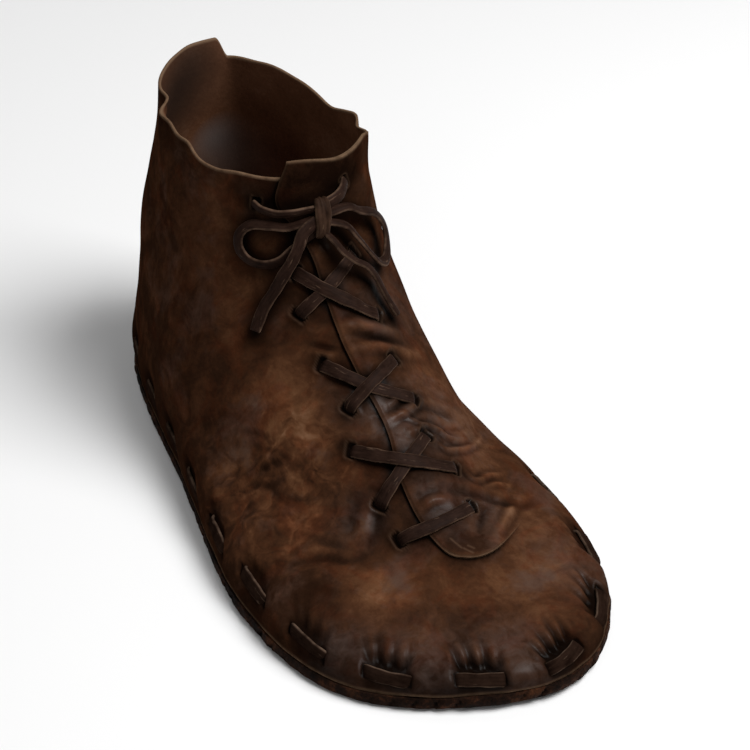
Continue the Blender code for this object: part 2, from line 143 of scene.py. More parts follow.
# The bow: place around, section number, height over the upper in millimetres, and turn in degrees
KNOT_AT = (-0.04, 7.08, 6.1)
BOW_ROUTES = {
    "lace_run_outer": ((0.86, 7.40, 0.2, 24), (0.71, 7.36, 3.4, 28), (0.52, 7.32, 5.2, 34),
                       (0.32, 7.32, 6.4, 36), (0.08, 7.30, 5.6, 36)),
    "lace_run_inner": ((-0.57, 7.51, 0.8, 10), (-0.44, 7.43, 3.6, 8), (-0.30, 7.36, 5.0, 6),
                       (-0.12, 7.30, 5.4, 6)),
    "lace_loop_outer": ((0.08, 7.07, 6.0, 56), (0.24, 7.04, 6.6, 56), (0.43, 7.01, 6.0, 54),
                        (0.67, 7.04, 4.8, 50), (0.95, 7.00, 4.0, 36), (1.20, 6.80, 3.4, 18),
                        (1.28, 6.57, 3.1, 18), (1.15, 6.45, 3.2, 32), (0.89, 6.46, 3.6, 46),
                        (0.64, 6.55, 4.2, 50), (0.41, 6.70, 4.8, 48), (0.05, 6.88, 4.4, 42)),
    "lace_loop_inner": ((-0.16, 7.12, 6.1, -50), (-0.39, 7.11, 7.2, -46), (-0.60, 6.92, 7.2, -40),
                        (-0.91, 6.74, 6.6, -30), (-1.23, 6.45, 5.8, -14), (-1.33, 6.18, 5.2, -8),
                        (-1.22, 6.02, 5.0, 10), (-0.97, 6.10, 5.6, 30), (-0.72, 6.32, 6.3, 40),
                        (-0.50, 6.60, 6.9, 42), (-0.34, 6.83, 6.9, 42), (-0.14, 6.96, 5.8, 42)),
    "lace_end_outer": ((0.09, 7.00, 7.4, -10), (0.23, 6.90, 8.6, -12), (0.34, 6.72, 9.0, -12),
                       (0.47, 6.55, 8.6, -8), (0.67, 6.36, 7.0, -4), (0.96, 6.10, 4.4, 0),
                       (1.21, 5.87, 2.6, 0), (1.36, 5.68, 2.1, 0), (1.50, 5.46, 2.0, 0)),
    "lace_end_inner": ((-0.07, 6.79, 6.9, -30), (-0.11, 6.68, 8.6, -30), (-0.18, 6.54, 8.6, -28),
                       (-0.33, 6.38, 8.2, -25), (-0.53, 6.24, 7.6, -18), (-0.69, 6.06, 6.8, -4),
                       (-0.84, 5.84, 5.4, 0), (-0.96, 5.63, 4.4, 0), (-1.08, 5.40, 3.8, 0)),
}
# Width of each lace of the bow in millimetres, as far as it shows flat
BOW_WIDTHS = {"lace_run_outer": 3.7, "lace_run_inner": 4.6, "lace_loop_outer": 4.2, "lace_loop_inner": 4.0,
              "lace_end_outer": 4.6, "lace_end_inner": 3.0}
BOW_THICK = 1.8 * MM
SLIT_MARGIN = 0.3 * MM

# Creases: depth and width in millimetres, a raised fold has a negative depth
Crease = namedtuple("Crease", "depth width route")
CREASES = (
    # Folds on the inner side, fanning from the slits of the low crossing
    Crease(-1.1, 1.5, ((0.06, 4.72), (-0.23, 4.71), (-0.68, 4.60), (-1.00, 4.38))),
    Crease(-0.7, 1.1, ((-0.10, 4.86), (-0.40, 4.86), (-0.61, 4.76))),
    Crease(-0.6, 1.0, ((-0.25, 4.72), (-0.44, 4.53), (-0.67, 4.31))),
    Crease(0.8, 2.0, ((-0.82, 4.50), (-1.10, 4.15), (-1.36, 3.83))),
    Crease(-1.0, 1.1, ((-0.25, 4.48), (-0.59, 4.38), (-0.83, 4.15), (-0.97, 3.92), (-1.28, 3.62),
                       (-1.72, 3.19))),
    Crease(-0.9, 1.1, ((-0.64, 4.14), (-0.75, 3.95), (-1.02, 3.73), (-1.44, 3.37), (-1.80, 3.00))),
    Crease(-0.7, 1.0, ((-0.96, 3.98), (-1.25, 3.72), (-1.58, 3.40))),
    Crease(-0.8, 1.1, ((-0.84, 3.63), (-0.92, 3.40), (-1.24, 3.13), (-1.54, 2.70))),
    Crease(-0.6, 1.0, ((-1.00, 3.24), (-1.24, 2.98), (-1.40, 2.70))),
    Crease(0.8, 2.0, ((-0.30, 3.78), (-0.64, 3.48), (-0.98, 3.10))),
    Crease(0.9, 2.2, ((-0.68, 3.40), (-0.98, 3.00), (-1.44, 2.20))),
    Crease(-0.8, 1.6, ((0.16, 3.70), (-0.04, 3.75), (-0.28, 3.68))),
    # The fold at the tip of the lapped edge
    Crease(-0.9, 1.6, ((-0.50, 2.93), (-0.66, 2.92), (-0.91, 2.83), (-1.13, 2.72), (-1.34, 2.52))),
    Crease(1.2, 2.2, ((-0.36, 3.14), (-0.51, 3.18), (-0.69, 3.18), (-0.90, 3.06))),
    # Folds across the instep, between the upper two crossings
    Crease(1.3, 1.5, ((0.76, 5.55), (0.60, 5.55), (0.44, 5.55), (0.24, 5.55))),
    Crease(0.6, 1.4, ((0.72, 5.66), (0.38, 5.65), (0.24, 5.62))),
    Crease(-0.9, 2.0, ((0.12, 5.78), (-0.24, 5.73), (-0.74, 5.45), (-1.22, 5.15))),
    Crease(0.8, 2.2, ((0.05, 5.66), (-0.46, 5.50), (-0.88, 5.28))),
    Crease(-0.8, 2.0, ((0.02, 5.56), (-0.38, 5.46), (-0.76, 5.22), (-1.48, 4.65))),
    # Outer side of the vamp: the fold under the low crossing and the long flex crease
    Crease(-1.1, 2.6, ((0.72, 3.70), (0.86, 3.50), (0.98, 3.25), (1.12, 3.00))),
    Crease(0.8, 1.8, ((1.70, 2.20), (1.48, 2.48), (1.32, 2.62), (1.18, 2.70), (0.98, 2.95))),
    Crease(0.5, 1.4, ((1.44, 2.74), (1.32, 2.82), (1.20, 2.86))),
    Crease(0.5, 1.4, ((2.10, 3.00), (1.86, 3.43), (1.60, 3.75))),
    Crease(0.5, 1.4, ((2.34, 2.30), (2.08, 2.88), (1.92, 3.10), (1.74, 3.12))),
    Crease(0.4, 1.3, ((2.10, 3.70), (1.90, 3.86), (1.66, 3.98))),
)

# Soft bulges of the hide: height and radius in millimetres
Bulge = namedtuple("Bulge", "around up height radius")
BULGES = (
    Bulge(-0.04, 6.58, 1.8, 5.5), Bulge(0.90, 6.68, 1.0, 6.0), Bulge(-1.20, 6.36, 1.0, 6.0),
    Bulge(-0.76, 5.95, 1.2, 5.0), Bulge(-0.10, 5.74, 0.9, 5.0), Bulge(0.42, 6.02, 0.8, 4.0),
    Bulge(-0.16, 5.30, 0.8, 4.5), Bulge(0.42, 4.98, 0.6, 4.0), Bulge(-0.30, 4.50, 0.7, 4.5),
    Bulge(-0.30, 3.56, 0.7, 5.0), Bulge(0.52, 3.42, 0.6, 4.5))

# Soft patches of lighter or darker hide, partly its own colour and partly painted light and shade, such as
# the painted shade at the top of the flap beside the bow: radius in millimetres
Patch = namedtuple("Patch", "around up radius tone")
PATCHES = (
    Patch(1.20, 5.05, 15, 0.18), Patch(1.32, 4.25, 18, 0.36), Patch(0.82, 2.65, 15, 0.34),
    Patch(0.94, 2.30, 13, 0.30), Patch(-0.48, 2.43, 22, 0.32), Patch(-1.14, 2.18, 20, 0.35),
    Patch(0.52, 2.00, 13, -0.20), Patch(1.60, 1.90, 15, -0.25), Patch(-0.10, 7.80, 15, -0.80),
    Patch(0.72, 1.55, 9, 0.15), Patch(-0.05, 3.15, 9, -0.30), Patch(0.62, 0.90, 9, -0.60),
    Patch(1.25, 1.05, 10, -0.50), Patch(-0.75, 7.85, 13, -0.50), Patch(0.80, 7.60, 12, -0.15),
    Patch(2.20, 6.60, 22, 0.12), Patch(-0.30, 3.05, 10, -0.45), Patch(-1.10, 4.40, 22, 0.42),
    Patch(-1.25, 3.50, 18, 0.20), Patch(1.75, 3.40, 30, 0.06), Patch(1.60, 6.20, 24, 0.30))
# A stretch of the outer side where the hide is worn into plates
PLATES = (Patch(1.75, 3.3, 34, 1.0),)
# Stretches of the hide that are grey with dust and with a painted grey sheen, and a little glossy
DUST_AND_SHEEN = (
    Patch(0.72, 1.40, 13, 0.9), Patch(0.22, 1.45, 14, 0.9), Patch(-0.95, 1.80, 16, 0.6),
    Patch(-0.30, 3.62, 11, 0.6), Patch(-0.70, 3.20, 8, 0.9), Patch(-0.15, 4.70, 13, 0.6),
    Patch(-0.95, 4.10, 16, 0.8), Patch(-1.00, 5.60, 16, 0.6), Patch(0.35, 4.95, 10, 0.4),
    Patch(0.98, 3.35, 9, 0.8), Patch(1.20, 1.30, 10, 0.7))
# Painted sheen (pale) and painted shade (dark) spots inside the heel
INSIDE_SHEEN_AND_SHADE = (
    Patch(5.04, 5.74, 10, 0.8), Patch(5.35, 5.0, 15, 0.5), Patch(4.2, 7.0, 22, -0.85),
    Patch(4.7, 7.8, 16, -0.55))

# Pale scratches at the tip of the lapped edge
SCRATCHES = (
    ((0.007, 3.313), (-0.058, 3.176)), ((-0.080, 3.160), (-0.150, 3.060)), ((-0.150, 3.160), (-0.200, 3.090)))

# Camera: place, the point at the middle of the picture, and the lens on a 36 mm sensor
CAMERA_AT = (-281.8 * MM, -555.1 * MM, 490.7 * MM)
CAMERA_AIM = (8.2 * MM, -19.4 * MM, 61.7 * MM)
CAMERA_LENS = 96.0

# Lights: size in metres and power in watts
Lamp = namedtuple("Lamp", "name place size power")
LAMPS = (
    Lamp("key", (0.55, -0.50, 1.25), 0.8, 25.0),
    Lamp("fill", (-1.0, -0.9, 0.9), 1.0, 2.0),
    Lamp("back", (-0.1, 1.1, 1.1), 0.9, 4.0))
LAMP_AIM = (0.0, 0.0, 0.05)
SKY_STRENGTH = 0.14
FLOOR_SIZE = 12.0

# A small step around or up, for slopes
NUDGE = 0.02


def smooth_step(value):
    value = np.clip(value, 0.0, 1.0)
    return value * value * (3.0 - 2.0 * value)


def hump(distance, width, power=2):
    """Bell of height 1 and the given half width, flatter at its top for a higher power."""
    return np.exp(-(distance / width) ** power)


def cubic_between(before, start, end, after, share):
    """Value on a smooth cubic curve between start and end."""
    return 0.5 * (
        2.0 * start
        + (end - before) * share
        + (2.0 * before - 5.0 * start + 4.0 * end - after) * share ** 2
        + (3.0 * start - before - 3.0 * end + after) * share ** 3)


def along_rows(rows, at):
    """Values of an open table at fractional row numbers."""
    rows = np.asarray(rows, float)
    padded = np.vstack([2.0 * rows[0] - rows[1], rows, 2.0 * rows[-1] - rows[-2]])
    first = np.clip(np.floor(at).astype(int), 0, len(rows) - 2)
    share = (at - first)[:, None]
    return cubic_between(padded[first], padded[first + 1], padded[first + 2], padded[first + 3], share)


def box_distance(along, across, half_along, half_across):
    """Distance from a box in a plane, negative within it."""
    apart = np.stack([np.abs(along) - half_along, np.abs(across) - half_across])
    return np.linalg.norm(np.maximum(apart, 0.0), axis=0) + np.minimum(apart.max(0), 0.0)


def unit(vectors):
    return vectors / np.linalg.norm(vectors, axis=-1, keepdims=True)


def run_along(line):
    """Length from the start of a line to each of its points."""
    return np.concatenate([[0.0], np.cumsum(np.linalg.norm(np.diff(line, axis=0), axis=1))])


def around_apart(around, centre):
    """Shortest way round the ring from a centre to each place."""
    return np.mod(around - centre + RING_POINTS / 2, RING_POINTS) - RING_POINTS / 2


def ring_controls(values):
    """The ten control points of each section ring, in metres."""
    section = dict(zip(Section._fields[1:], values.T))

    def end_point(end, full_rise):
        return np.stack([
            (section[end + "_x"] - MIDDLE) * BALL_WIDTH / 100,
            section[end + "_at"] * LENGTH / 100,
            SEAT + section[end + "_rise"] * full_rise / 100], axis=1)

    front = end_point("front", INSTEP_RISE)
    back = end_point("back", BACK_RISE)

    def side_point(side, station):
        point = front + (back - front) * STATIONS[station]
        point[:, 0] = (section[side + "_" + station] - MIDDLE) * BALL_WIDTH / 100
        return point

    outer = [side_point("out", station) for station in SIDES]
    inner = [side_point("in", station) for station in reversed(SIDES)]
    return np.stack([front, *outer, back, *inner], axis=1)


def kink_sum(around, column):
    """Sum of the collar's kinks, outwards or upwards, in metres."""
    total = np.zeros(len(around))
    for kink in KINKS:
        total += getattr(kink, column) * MM * hump(around_apart(around, kink.at), kink.half)
    return total


def collar_rise(around):
    """Extra height of the collar's edge at a place around the ring."""
    place = np.mod(around, RING_POINTS)
    tab = smooth_step((place - TAB_START) / (TAB_FULL - TAB_START))
    tab = tab * (1.0 - smooth_step((place - TAB_LEAVE) / (TAB_END - TAB_LEAVE)))
    dip = smooth_step(1.0 - np.abs(place - DIP_AT) / DIP_HALF)
    return TAB_RISE * tab - DIP_DEPTH * dip + kink_sum(around, "rise")


def last_point(around, up):
    """Points of the upper's outer face."""
    values = along_rows([section[1:] for section in SECTIONS], up)
    controls = ring_controls(values)
    first = np.floor(around).astype(int)
    share = (around - first)[:, None]
    rows = np.arange(len(around))
    corners = [controls[rows, (first + step) % RING_POINTS] for step in (-1, 0, 1, 2)]
    points = cubic_between(*corners, share)
    band = smooth_step((up - COLLAR + RISE_BAND) / RISE_BAND)
    points[:, 2] += collar_rise(around) * band
    return points


def last_normal(around, up):
    """Outward unit normals of the upper's outer face."""
    across = last_point(around + NUDGE, up) - last_point(around - NUDGE, up)
    rising = last_point(around, up + NUDGE) - last_point(around, up - NUDGE)
    return unit(np.cross(rising, across))


def toe_spring(points):
    """Points lifted towards the tip of the toe."""
    reach = (-points[:, 1] - SPRING_START) / (LENGTH / 2 - SPRING_START)
    lifted = points.copy()
    lifted[:, 2] += TOE_SPRING * np.clip(reach, 0.0, None) ** 2
    return lifted


def skin(around, up, lift):
    """Points at a height above the upper's outer face, which may differ from point to point."""
    around = np.asarray(around, float)
    up = np.asarray(up, float)
    lift = np.broadcast_to(np.asarray(lift, float), around.shape)
    return toe_spring(last_point(around, up) + last_normal(around, up) * lift[:, None])


def near_line(points, line, reach):
    """Of the points within reach of a line in space: their indices, distances, and shares along it."""
    inside = ((points > line.min(0) - reach) & (points < line.max(0) + reach)).all(1)
    index = np.flatnonzero(inside)
    best = np.full(len(index), np.inf)
    place = np.zeros(len(index))
    for number, (start, end) in enumerate(zip(line[:-1], line[1:])):
        step = end - start
        share = np.clip((points[index] - start) @ step / (step @ step), 0.0, 1.0)
        away = np.linalg.norm(points[index] - start - share[:, None] * step, axis=1)
        closer = away < best
        best[closer] = away[closer]
        place[closer] = (number + share[closer]) / (len(line) - 1)
    return index, best, place


def surface_line(route, steps):
    """A line in space over the upper through places on it."""
    around, up = along_rows(route, np.linspace(0.0, len(route) - 1, steps)).T
    return skin(around, up, 0.0)


def lumps(points, size):
    """Soft noise of a given size at each point, from -1 to 1."""
    return np.array([noise.noise(Vector(point)) for point in points / size])


# Rounds that bring a strap onto its straight line
STRAIGHT_ROUNDS = 4


def straight_way(strap, share):
    """Places on the upper under a strap: a straight line between its ends that sags towards the toe."""
    around = strap.outer[0] + (strap.inner[0] - strap.outer[0]) * share
    up = strap.outer[1] + (strap.inner[1] - strap.outer[1]) * share
    ends = last_point(around[[0, -1]], up[[0, -1]])
    middle = len(share) // 2
    beside = np.cross(ends[1] - ends[0], last_normal(around[[middle]], up[[middle]])[0])
    for _ in range(STRAIGHT_ROUNDS):
        off_line = (last_point(around, up) - ends[0]) @ beside
        slope = (last_point(around, up + NUDGE) - last_point(around, up - NUDGE)) @ beside / (2 * NUDGE)
        up = up - off_line / slope
    return around, up - strap.sag * np.sin(np.pi * share)


# Places of the stitches, evenly along the foot of the upper
RUN_SAMPLES = 800
run_around = np.linspace(-RING_POINTS / 2, RING_POINTS / 2, RUN_SAMPLES)
run_edge = last_point(run_around, np.full(RUN_SAMPLES, STITCH_RUN_UP))
run_length = run_along(run_edge)
stitch_first = np.interp(STITCH_FIRST_AT, run_around, run_length)
stitch_pitch = run_length[-1] / STITCHES


def stitch_up(number, around):
    """Section numbers along a stitch: its own height, with the rear end raised."""
    centre = np.interp(np.mod(stitch_first + stitch_pitch * number, run_length[-1]), run_length, run_around)
    reach = np.abs(centre)
    rise = np.interp(reach, *np.array(STITCH_RISE).T)
    slant = STITCH_SLANT * np.sign(centre) * smooth_step((SLANT_END - reach) / SLANT_BAND)
    return rise + slant * around_apart(around, centre)


def all_straps():
    """Every strap of the lacing with its node, name and extra height."""
    for node, (over, under) in LACE_CROSSES.items():
        short = node.replace("lace_cross_", "")
        yield node, "lace_strap_" + short + "_over", over, CROSS_STEP
        yield node, "lace_strap_" + short + "_under", under, 0.0
    yield "lace_bar", "lace_strap_bar", LACE_BAR, 0.0


def slit_places():
    """Each lace slit: its place, the place that its strap comes from, and half its length."""
    for _, _, strap, _ in all_straps():
        yield strap.outer, strap.inner, THONG_WIDTH / 2 + SLIT_MARGIN
        yield strap.inner, strap.outer, THONG_WIDTH / 2 + SLIT_MARGIN
    for name in ("lace_run_outer", "lace_run_inner"):
        route = BOW_ROUTES[name]
        yield route[0][:2], route[-1][:2], BOW_WIDTHS[name] * MM / 2 + SLIT_MARGIN


def patch_tone(points, patches, lift=0.0):
    """Sum of soft patches at points on the upper's outer or inner face."""
    total = np.zeros(len(points))
    for patch in patches:
        away = np.linalg.norm(points - skin([patch.around], [patch.up], lift), axis=1)
        total += patch.tone * hump(away, patch.radius * MM)
    return total


# Gentle lumps of the hide: height and size in millimetres, and a shift that keeps the noises apart
LUMPS = ((0.55, 36, 0.0), (0.25, 13, 1.0))

# How strongly creases and bulges show in the colour, as a painted highlight on ridges and bulges and painted
# shade in dents, and the banks beside a crease, in shares of it
CREASE_HIGHLIGHT_AND_SHADE = 0.45
CREASE_SHADE = 0.42
BULGE_HIGHLIGHT = 0.10
BANK_HEIGHT, BANK_AT = 0.45, 2.0
CREASE_END, CREASE_TAPER = 0.04, 0.7
CREASE_REACH = 4
# Steps of a crease's line for each point of its route
CREASE_STEPS = 6
# Where painted shade lies at a dent and beside a raised fold, and its half width, in widths of the crease
DENT_SHADE_AT, DENT_SHADE_WIDTH = 0.0, 0.6
FOLD_SHADE_AT, FOLD_SHADE_WIDTH = 1.9, 0.8

# The hide darkens to the collar, to the foot and along the sides
COLLAR_SHADE, COLLAR_SHADE_FROM, COLLAR_SHADE_BAND = 0.22, 7.1, 0.9
FOOT_SHADE, FOOT_SHADE_BAND = 0.35, 1.3
SIDE_SHADE, SIDE_SHADE_BAND = 0.14, 1.4
SIDE_SHADE_FROM_OUTER, SIDE_SHADE_FROM_INNER = 1.6, 3.4

# Painted shadow on the hide under the straps and the bow: strength and half width of its near and far parts,
# how far it reaches, and the steps of its line
ShadowHalo = namedtuple("ShadowHalo", "near near_width far far_width reach steps")
STRAP_SHADOW = ShadowHalo(0.65, 3.9 * MM, 0.24, 9 * MM, 20 * MM, 12)
BOW_SHADOW = ShadowHalo(0.85, 5.8 * MM, 0.25, 10 * MM, 14 * MM, 24)
STRAP_SHADE, STRAP_SHADE_WIDTH = 0.10, 14 * MM
STRAP_BED, STRAP_BED_WIDTH = STRAP_PRESS + 0.2 * MM, 3.6 * MM

# Slits: the distance that counts as far, in millimetres, then the cut, the painted shade around it, and its
# lip
SLIT_FAR = 8.0
SLIT_ROUND = 0.6 * MM
SLIT_INSET = 1.0 * MM
SLIT_HALF_WIDTH = 0.8 * MM
SLIT_DEPTH, SLIT_WALL = 1.3 * MM, 1.0 * MM
SLIT_SHADE, SLIT_SHADE_WIDTH = 0.25, 1.2 * MM
SLIT_NEAR = 14 * MM
LIP_HEIGHT, LIP_AT, LIP_WIDTH = 0.35 * MM, 1.2 * MM, 0.9 * MM
LIP_PALE_AT, LIP_PALE_WIDTH = 0.8 * MM, 0.4 * MM
SCRATCH_STRENGTH, SCRATCH_WIDTH = 1.8, 0.35 * MM
SCRATCH_REACH, SCRATCH_STEPS = 2 * MM, 8
STITCH_SLIT_HALF_WIDTH = 0.3 * MM
STITCH_SLIT_NEAR = 9 * MM

# Foot of the upper: puffs between the stitches, beds under them, hollows and pleats above those at the toe;
# painted highlights on the puffs and pleats, painted shade round and under the stitches, in the hollows and
# in the pleats' troughs, and dirt at the foot of the toe
TOE_STITCH, TOE_STITCHES = 0.7, 2.2
PUFF_HEIGHT, PUFF_AT, PUFF_WIDTH = 1.1 * MM, 2 * MM, 8 * MM
PUFF_HIGHLIGHT, PUFF_HIGHLIGHT_AT, PUFF_HIGHLIGHT_WIDTH = 0.10, 3 * MM, 7 * MM
FOOT_DIRT, FOOT_DIRT_AT, FOOT_DIRT_WIDTH = 0.40, -2 * MM, 8 * MM
STITCH_BED, STITCH_BED_WIDTH = 0.5 * MM, 3.2 * MM
STITCH_SHADE, STITCH_SHADE_WIDTH = 0.85, 4.3 * MM
BELOW_SHADE, BELOW_FROM, BELOW_BAND = 0.25, 1.5 * MM, 3 * MM
HOLLOW_DEPTH, TOE_HOLLOW_DEPTH = 0.9 * MM, 1.4 * MM
HOLLOW_SHADE, TOE_HOLLOW_SHADE = 0.60, 0.30
HOLLOW_AT, HOLLOW_WIDTH = 5.5 * MM, 3.4 * MM
PLEAT_HEIGHT, PLEAT_HIGHLIGHT_AND_SHADE, PLEAT_SHADE = 1.0 * MM, 0.45, 0.55
PLEAT_FAN, PLEAT_FOCUS = 27.0, 16 * MM
PLEAT_START, PLEAT_FULL = 3 * MM, 6 * MM
PLEAT_LEAVE, PLEAT_END = 8 * MM, 19 * MM


# Painted shadow at a distance from a lace, a strong near part and a soft far part
def halo_dirt(halo, away):
    return halo.near * hump(away, halo.near_width) + halo.far * hump(away, halo.far_width)


class Relief:
    """Height, tone with painted highlights and shade, and painted shade with some dirt of the hide at places
    on the upper, and their distance from the nearest slit.
    """

    def __init__(self, around, up):
        self.around = around
        self.up = up
        self.base = skin(around, up, 0.0)
        self.lift, self.tone, self.dirt, self.lip = np.zeros((4, len(around)))
        self.slit = np.full(len(around), SLIT_FAR)
        for height, size, shift in LUMPS:
            self.lift += height * MM * lumps(self.base + shift, size * MM)
        self.add_creases()
        self.add_bulges()
        self.add_shades()
        self.add_straps()
        self.add_slits()
        self.add_gathers()
        band = smooth_step((up - COLLAR + KINK_BAND) / KINK_BAND)
        self.lift += kink_sum(around, "out") * band

    def add_creases(self):
        for crease in CREASES:
            width = crease.width * MM
            line = surface_line(crease.route, CREASE_STEPS * len(crease.route))
            index, away, place = near_line(self.base, line, CREASE_REACH * width)
            taper = np.sin(np.pi * np.clip(place, CREASE_END, 1.0 - CREASE_END)) ** CREASE_TAPER
            shape = hump(away, width) - BANK_HEIGHT * hump(away - BANK_AT * width, width)
            self.lift[index] -= crease.depth * MM * shape * taper
            self.tone[index] -= CREASE_HIGHLIGHT_AND_SHADE * crease.depth * shape * taper
            trough = hump(away - DENT_SHADE_AT * width, DENT_SHADE_WIDTH * width)
            if crease.depth < 0:
                trough = hump(away - FOLD_SHADE_AT * width, FOLD_SHADE_WIDTH * width)
            self.dirt[index] += CREASE_SHADE * abs(crease.depth) * trough * taper

    def add_bulges(self):
        for bulge in BULGES:
            centre = skin([bulge.around], [bulge.up], 0.0)[0]
            shape = hump(np.linalg.norm(self.base - centre, axis=1), bulge.radius * MM)
            self.lift += bulge.height * MM * shape
            self.tone += BULGE_HIGHLIGHT * bulge.height * shape

    def add_shades(self):
        """Lighter and darker stretches of the hide, partly its own colour and partly painted light and shade.
        """
        self.tone += patch_tone(self.base, PATCHES)
        self.tone -= COLLAR_SHADE * smooth_step((self.up - COLLAR_SHADE_FROM) / COLLAR_SHADE_BAND)
        self.tone -= FOOT_SHADE * hump(self.up, FOOT_SHADE_BAND)
        side_from = np.where(self.around > 0, SIDE_SHADE_FROM_OUTER, SIDE_SHADE_FROM_INNER)
        self.tone -= SIDE_SHADE * smooth_step((np.abs(self.around) - side_from) / SIDE_SHADE_BAND)

    def add_straps(self):
        """Painted shadow under the laces, and a bed pressed under each strap."""
        for _, _, strap, _ in all_straps():
            line = skin(*straight_way(strap, np.linspace(0.0, 1.0, STRAP_SHADOW.steps)), 0.0)
            index, away, _ = near_line(self.base, line, STRAP_SHADOW.reach)
            self.dirt[index] += halo_dirt(STRAP_SHADOW, away)
            self.tone[index] -= STRAP_SHADE * hump(away, STRAP_SHADE_WIDTH)
            self.lift[index] -= STRAP_BED * hump(away, STRAP_BED_WIDTH)
        for route in BOW_ROUTES.values():
            line = surface_line([spot[:2] for spot in route], BOW_SHADOW.steps)
            index, away, _ = near_line(self.base, line, BOW_SHADOW.reach)
            self.dirt[index] = np.maximum(self.dirt[index], halo_dirt(BOW_SHADOW, away))

    def add_slits(self):
        """Cut slits with a low lip, a little wider than the strap that dives into each, and the scratches."""
        for place, other, half in slit_places():
            spots = skin([place[0], other[0]], [place[1], other[1]], 0.0)
            normal = last_normal(np.array([place[0]]), np.array([place[1]]))[0]
            outward = spots[0] - spots[1]
            outward = unit(outward - normal * (outward @ normal))
            away = self.base - spots[0]
            near = np.linalg.norm(away, axis=1) < SLIT_NEAR
            ahead = away[near] @ outward + SLIT_INSET
            aside = away[near] @ np.cross(normal, outward)
            outside = box_distance(ahead, aside, SLIT_HALF_WIDTH, half - SLIT_ROUND) - SLIT_ROUND
            self.cut_slit(near, outside)
            self.lip[near] = np.maximum(self.lip[near], hump(outside - LIP_PALE_AT, LIP_PALE_WIDTH))
            self.lift[near] += LIP_HEIGHT * hump(outside - LIP_AT, LIP_WIDTH)
        for route in SCRATCHES:
            index, away, _ = near_line(self.base, surface_line(route, SCRATCH_STEPS), SCRATCH_REACH)
            self.lip[index] = np.maximum(self.lip[index], SCRATCH_STRENGTH * hump(away, SCRATCH_WIDTH))

    def cut_slit(self, near, outside):
        """Sink a slit and darken it with painted shade, from each place's distance outside it."""
        self.slit[near] = np.minimum(self.slit[near], outside / MM)
        self.lift[near] -= SLIT_DEPTH * (1.0 - smooth_step((outside + SLIT_WALL / 2) / SLIT_WALL))
        self.dirt[near] += SLIT_SHADE * hump(np.maximum(outside, 0.0), SLIT_SHADE_WIDTH)

    def height_over(self, level):
        """How far each place lies above a line of section numbers around the upper."""
        foot = skin(self.around, level, 0.0)
        return np.linalg.norm(self.base - foot, axis=1) * np.sign(self.up - level)

    def add_gathers(self):
        """Puffs, beds, hollows, pleats and slits at the stitches, with painted highlights and painted shade.
        """
        run = np.interp(self.around, run_around, run_length)
        number = np.round((run - stitch_first) / stitch_pitch)
        along = run - stitch_first - number * stitch_pitch
        half = STITCH_LENGTH / 2
        toe = hump(number - TOE_STITCH, TOE_STITCHES)
        above = self.height_over(np.interp(np.abs(self.around), *np.array(STITCH_RISE).T))
        rise = self.height_over(stitch_up(number, self.around))
        under = hump(along, half * 1.02, 8)
        self.lift += PUFF_HEIGHT * (1 - under) * hump(above - PUFF_AT, PUFF_WIDTH)
        self.tone += PUFF_HIGHLIGHT * toe * (1 - under) * hump(above - PUFF_HIGHLIGHT_AT, PUFF_HIGHLIGHT_WIDTH)
        self.dirt += FOOT_DIRT * toe * hump(above - FOOT_DIRT_AT, FOOT_DIRT_WIDTH)
        self.lift -= STITCH_BED * under * hump(rise, STITCH_BED_WIDTH)
        self.dirt += STITCH_SHADE * under * hump(rise, STITCH_SHADE_WIDTH)
        hollow = hump(along, half * 1.05, 4) * hump(rise - HOLLOW_AT, HOLLOW_WIDTH)
        self.lift -= (HOLLOW_DEPTH + TOE_HOLLOW_DEPTH * toe) * hollow
        self.dirt += (HOLLOW_SHADE + TOE_HOLLOW_SHADE * toe) * hollow
        fan = np.cos(along / (np.maximum(rise, 0.0) + PLEAT_FOCUS) * PLEAT_FAN + 1.3 * np.sin(number * 2.1))
        reach = smooth_step((rise - PLEAT_START) / (PLEAT_FULL - PLEAT_START))
        reach = reach * (1 - smooth_step((rise - PLEAT_LEAVE) / (PLEAT_END - PLEAT_LEAVE)))
        pleat = fan * reach * hump(along, half * 1.25, 4) * toe
        self.lift += PLEAT_HEIGHT * pleat
        self.tone += PLEAT_HIGHLIGHT_AND_SHADE * pleat
        self.dirt += PLEAT_SHADE * np.clip(-pleat, 0, 1)
        near = np.abs(rise) < STITCH_SLIT_NEAR
        from_end = np.abs(along[near]) - half
        half_height = STITCH_WIDTH / 2 - SLIT_ROUND
        outside = box_distance(from_end, rise[near], STITCH_SLIT_HALF_WIDTH, half_height) - SLIT_ROUND
        self.cut_slit(near, outside)
        self.dirt += BELOW_SHADE * under * smooth_step(-(rise + BELOW_FROM) / BELOW_BAND)

    def points(self, lift):
        return skin(self.around, self.up, self.lift + lift)


def store(mesh, rest=0.0, **kept):
    """Keep numbers for the points of a mesh, for its material: points past the end of a list get the rest."""
    for name, values in kept.items():
        spare = np.full(len(mesh.vertices) - len(values), rest)
        numbers = np.concatenate([values, spare]).astype(np.float32)
        mesh.attributes.new(name, "FLOAT", "POINT").data.foreach_set("value", numbers)


def second_material(piece, chosen):
    """Give the second material to the chosen faces of a piece."""
    index = np.zeros(len(piece.data.polygons), np.int32)
    index[chosen] = 1
    piece.data.polygons.foreach_set("material_index", index)


def mesh_object(name, points, faces, materials, node):
    """A new piece that stands for a node of the part."""
    mesh = bpy.data.meshes.new(name)
    mesh.from_pydata(np.asarray(points).tolist(), [], faces)
    mesh.shade_smooth()
    for material in materials:
        mesh.materials.append(material)
    piece = bpy.data.objects.new(name, mesh)
    bpy.context.scene.collection.objects.link(piece)
    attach(piece, "root")
    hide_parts(node)
    return piece


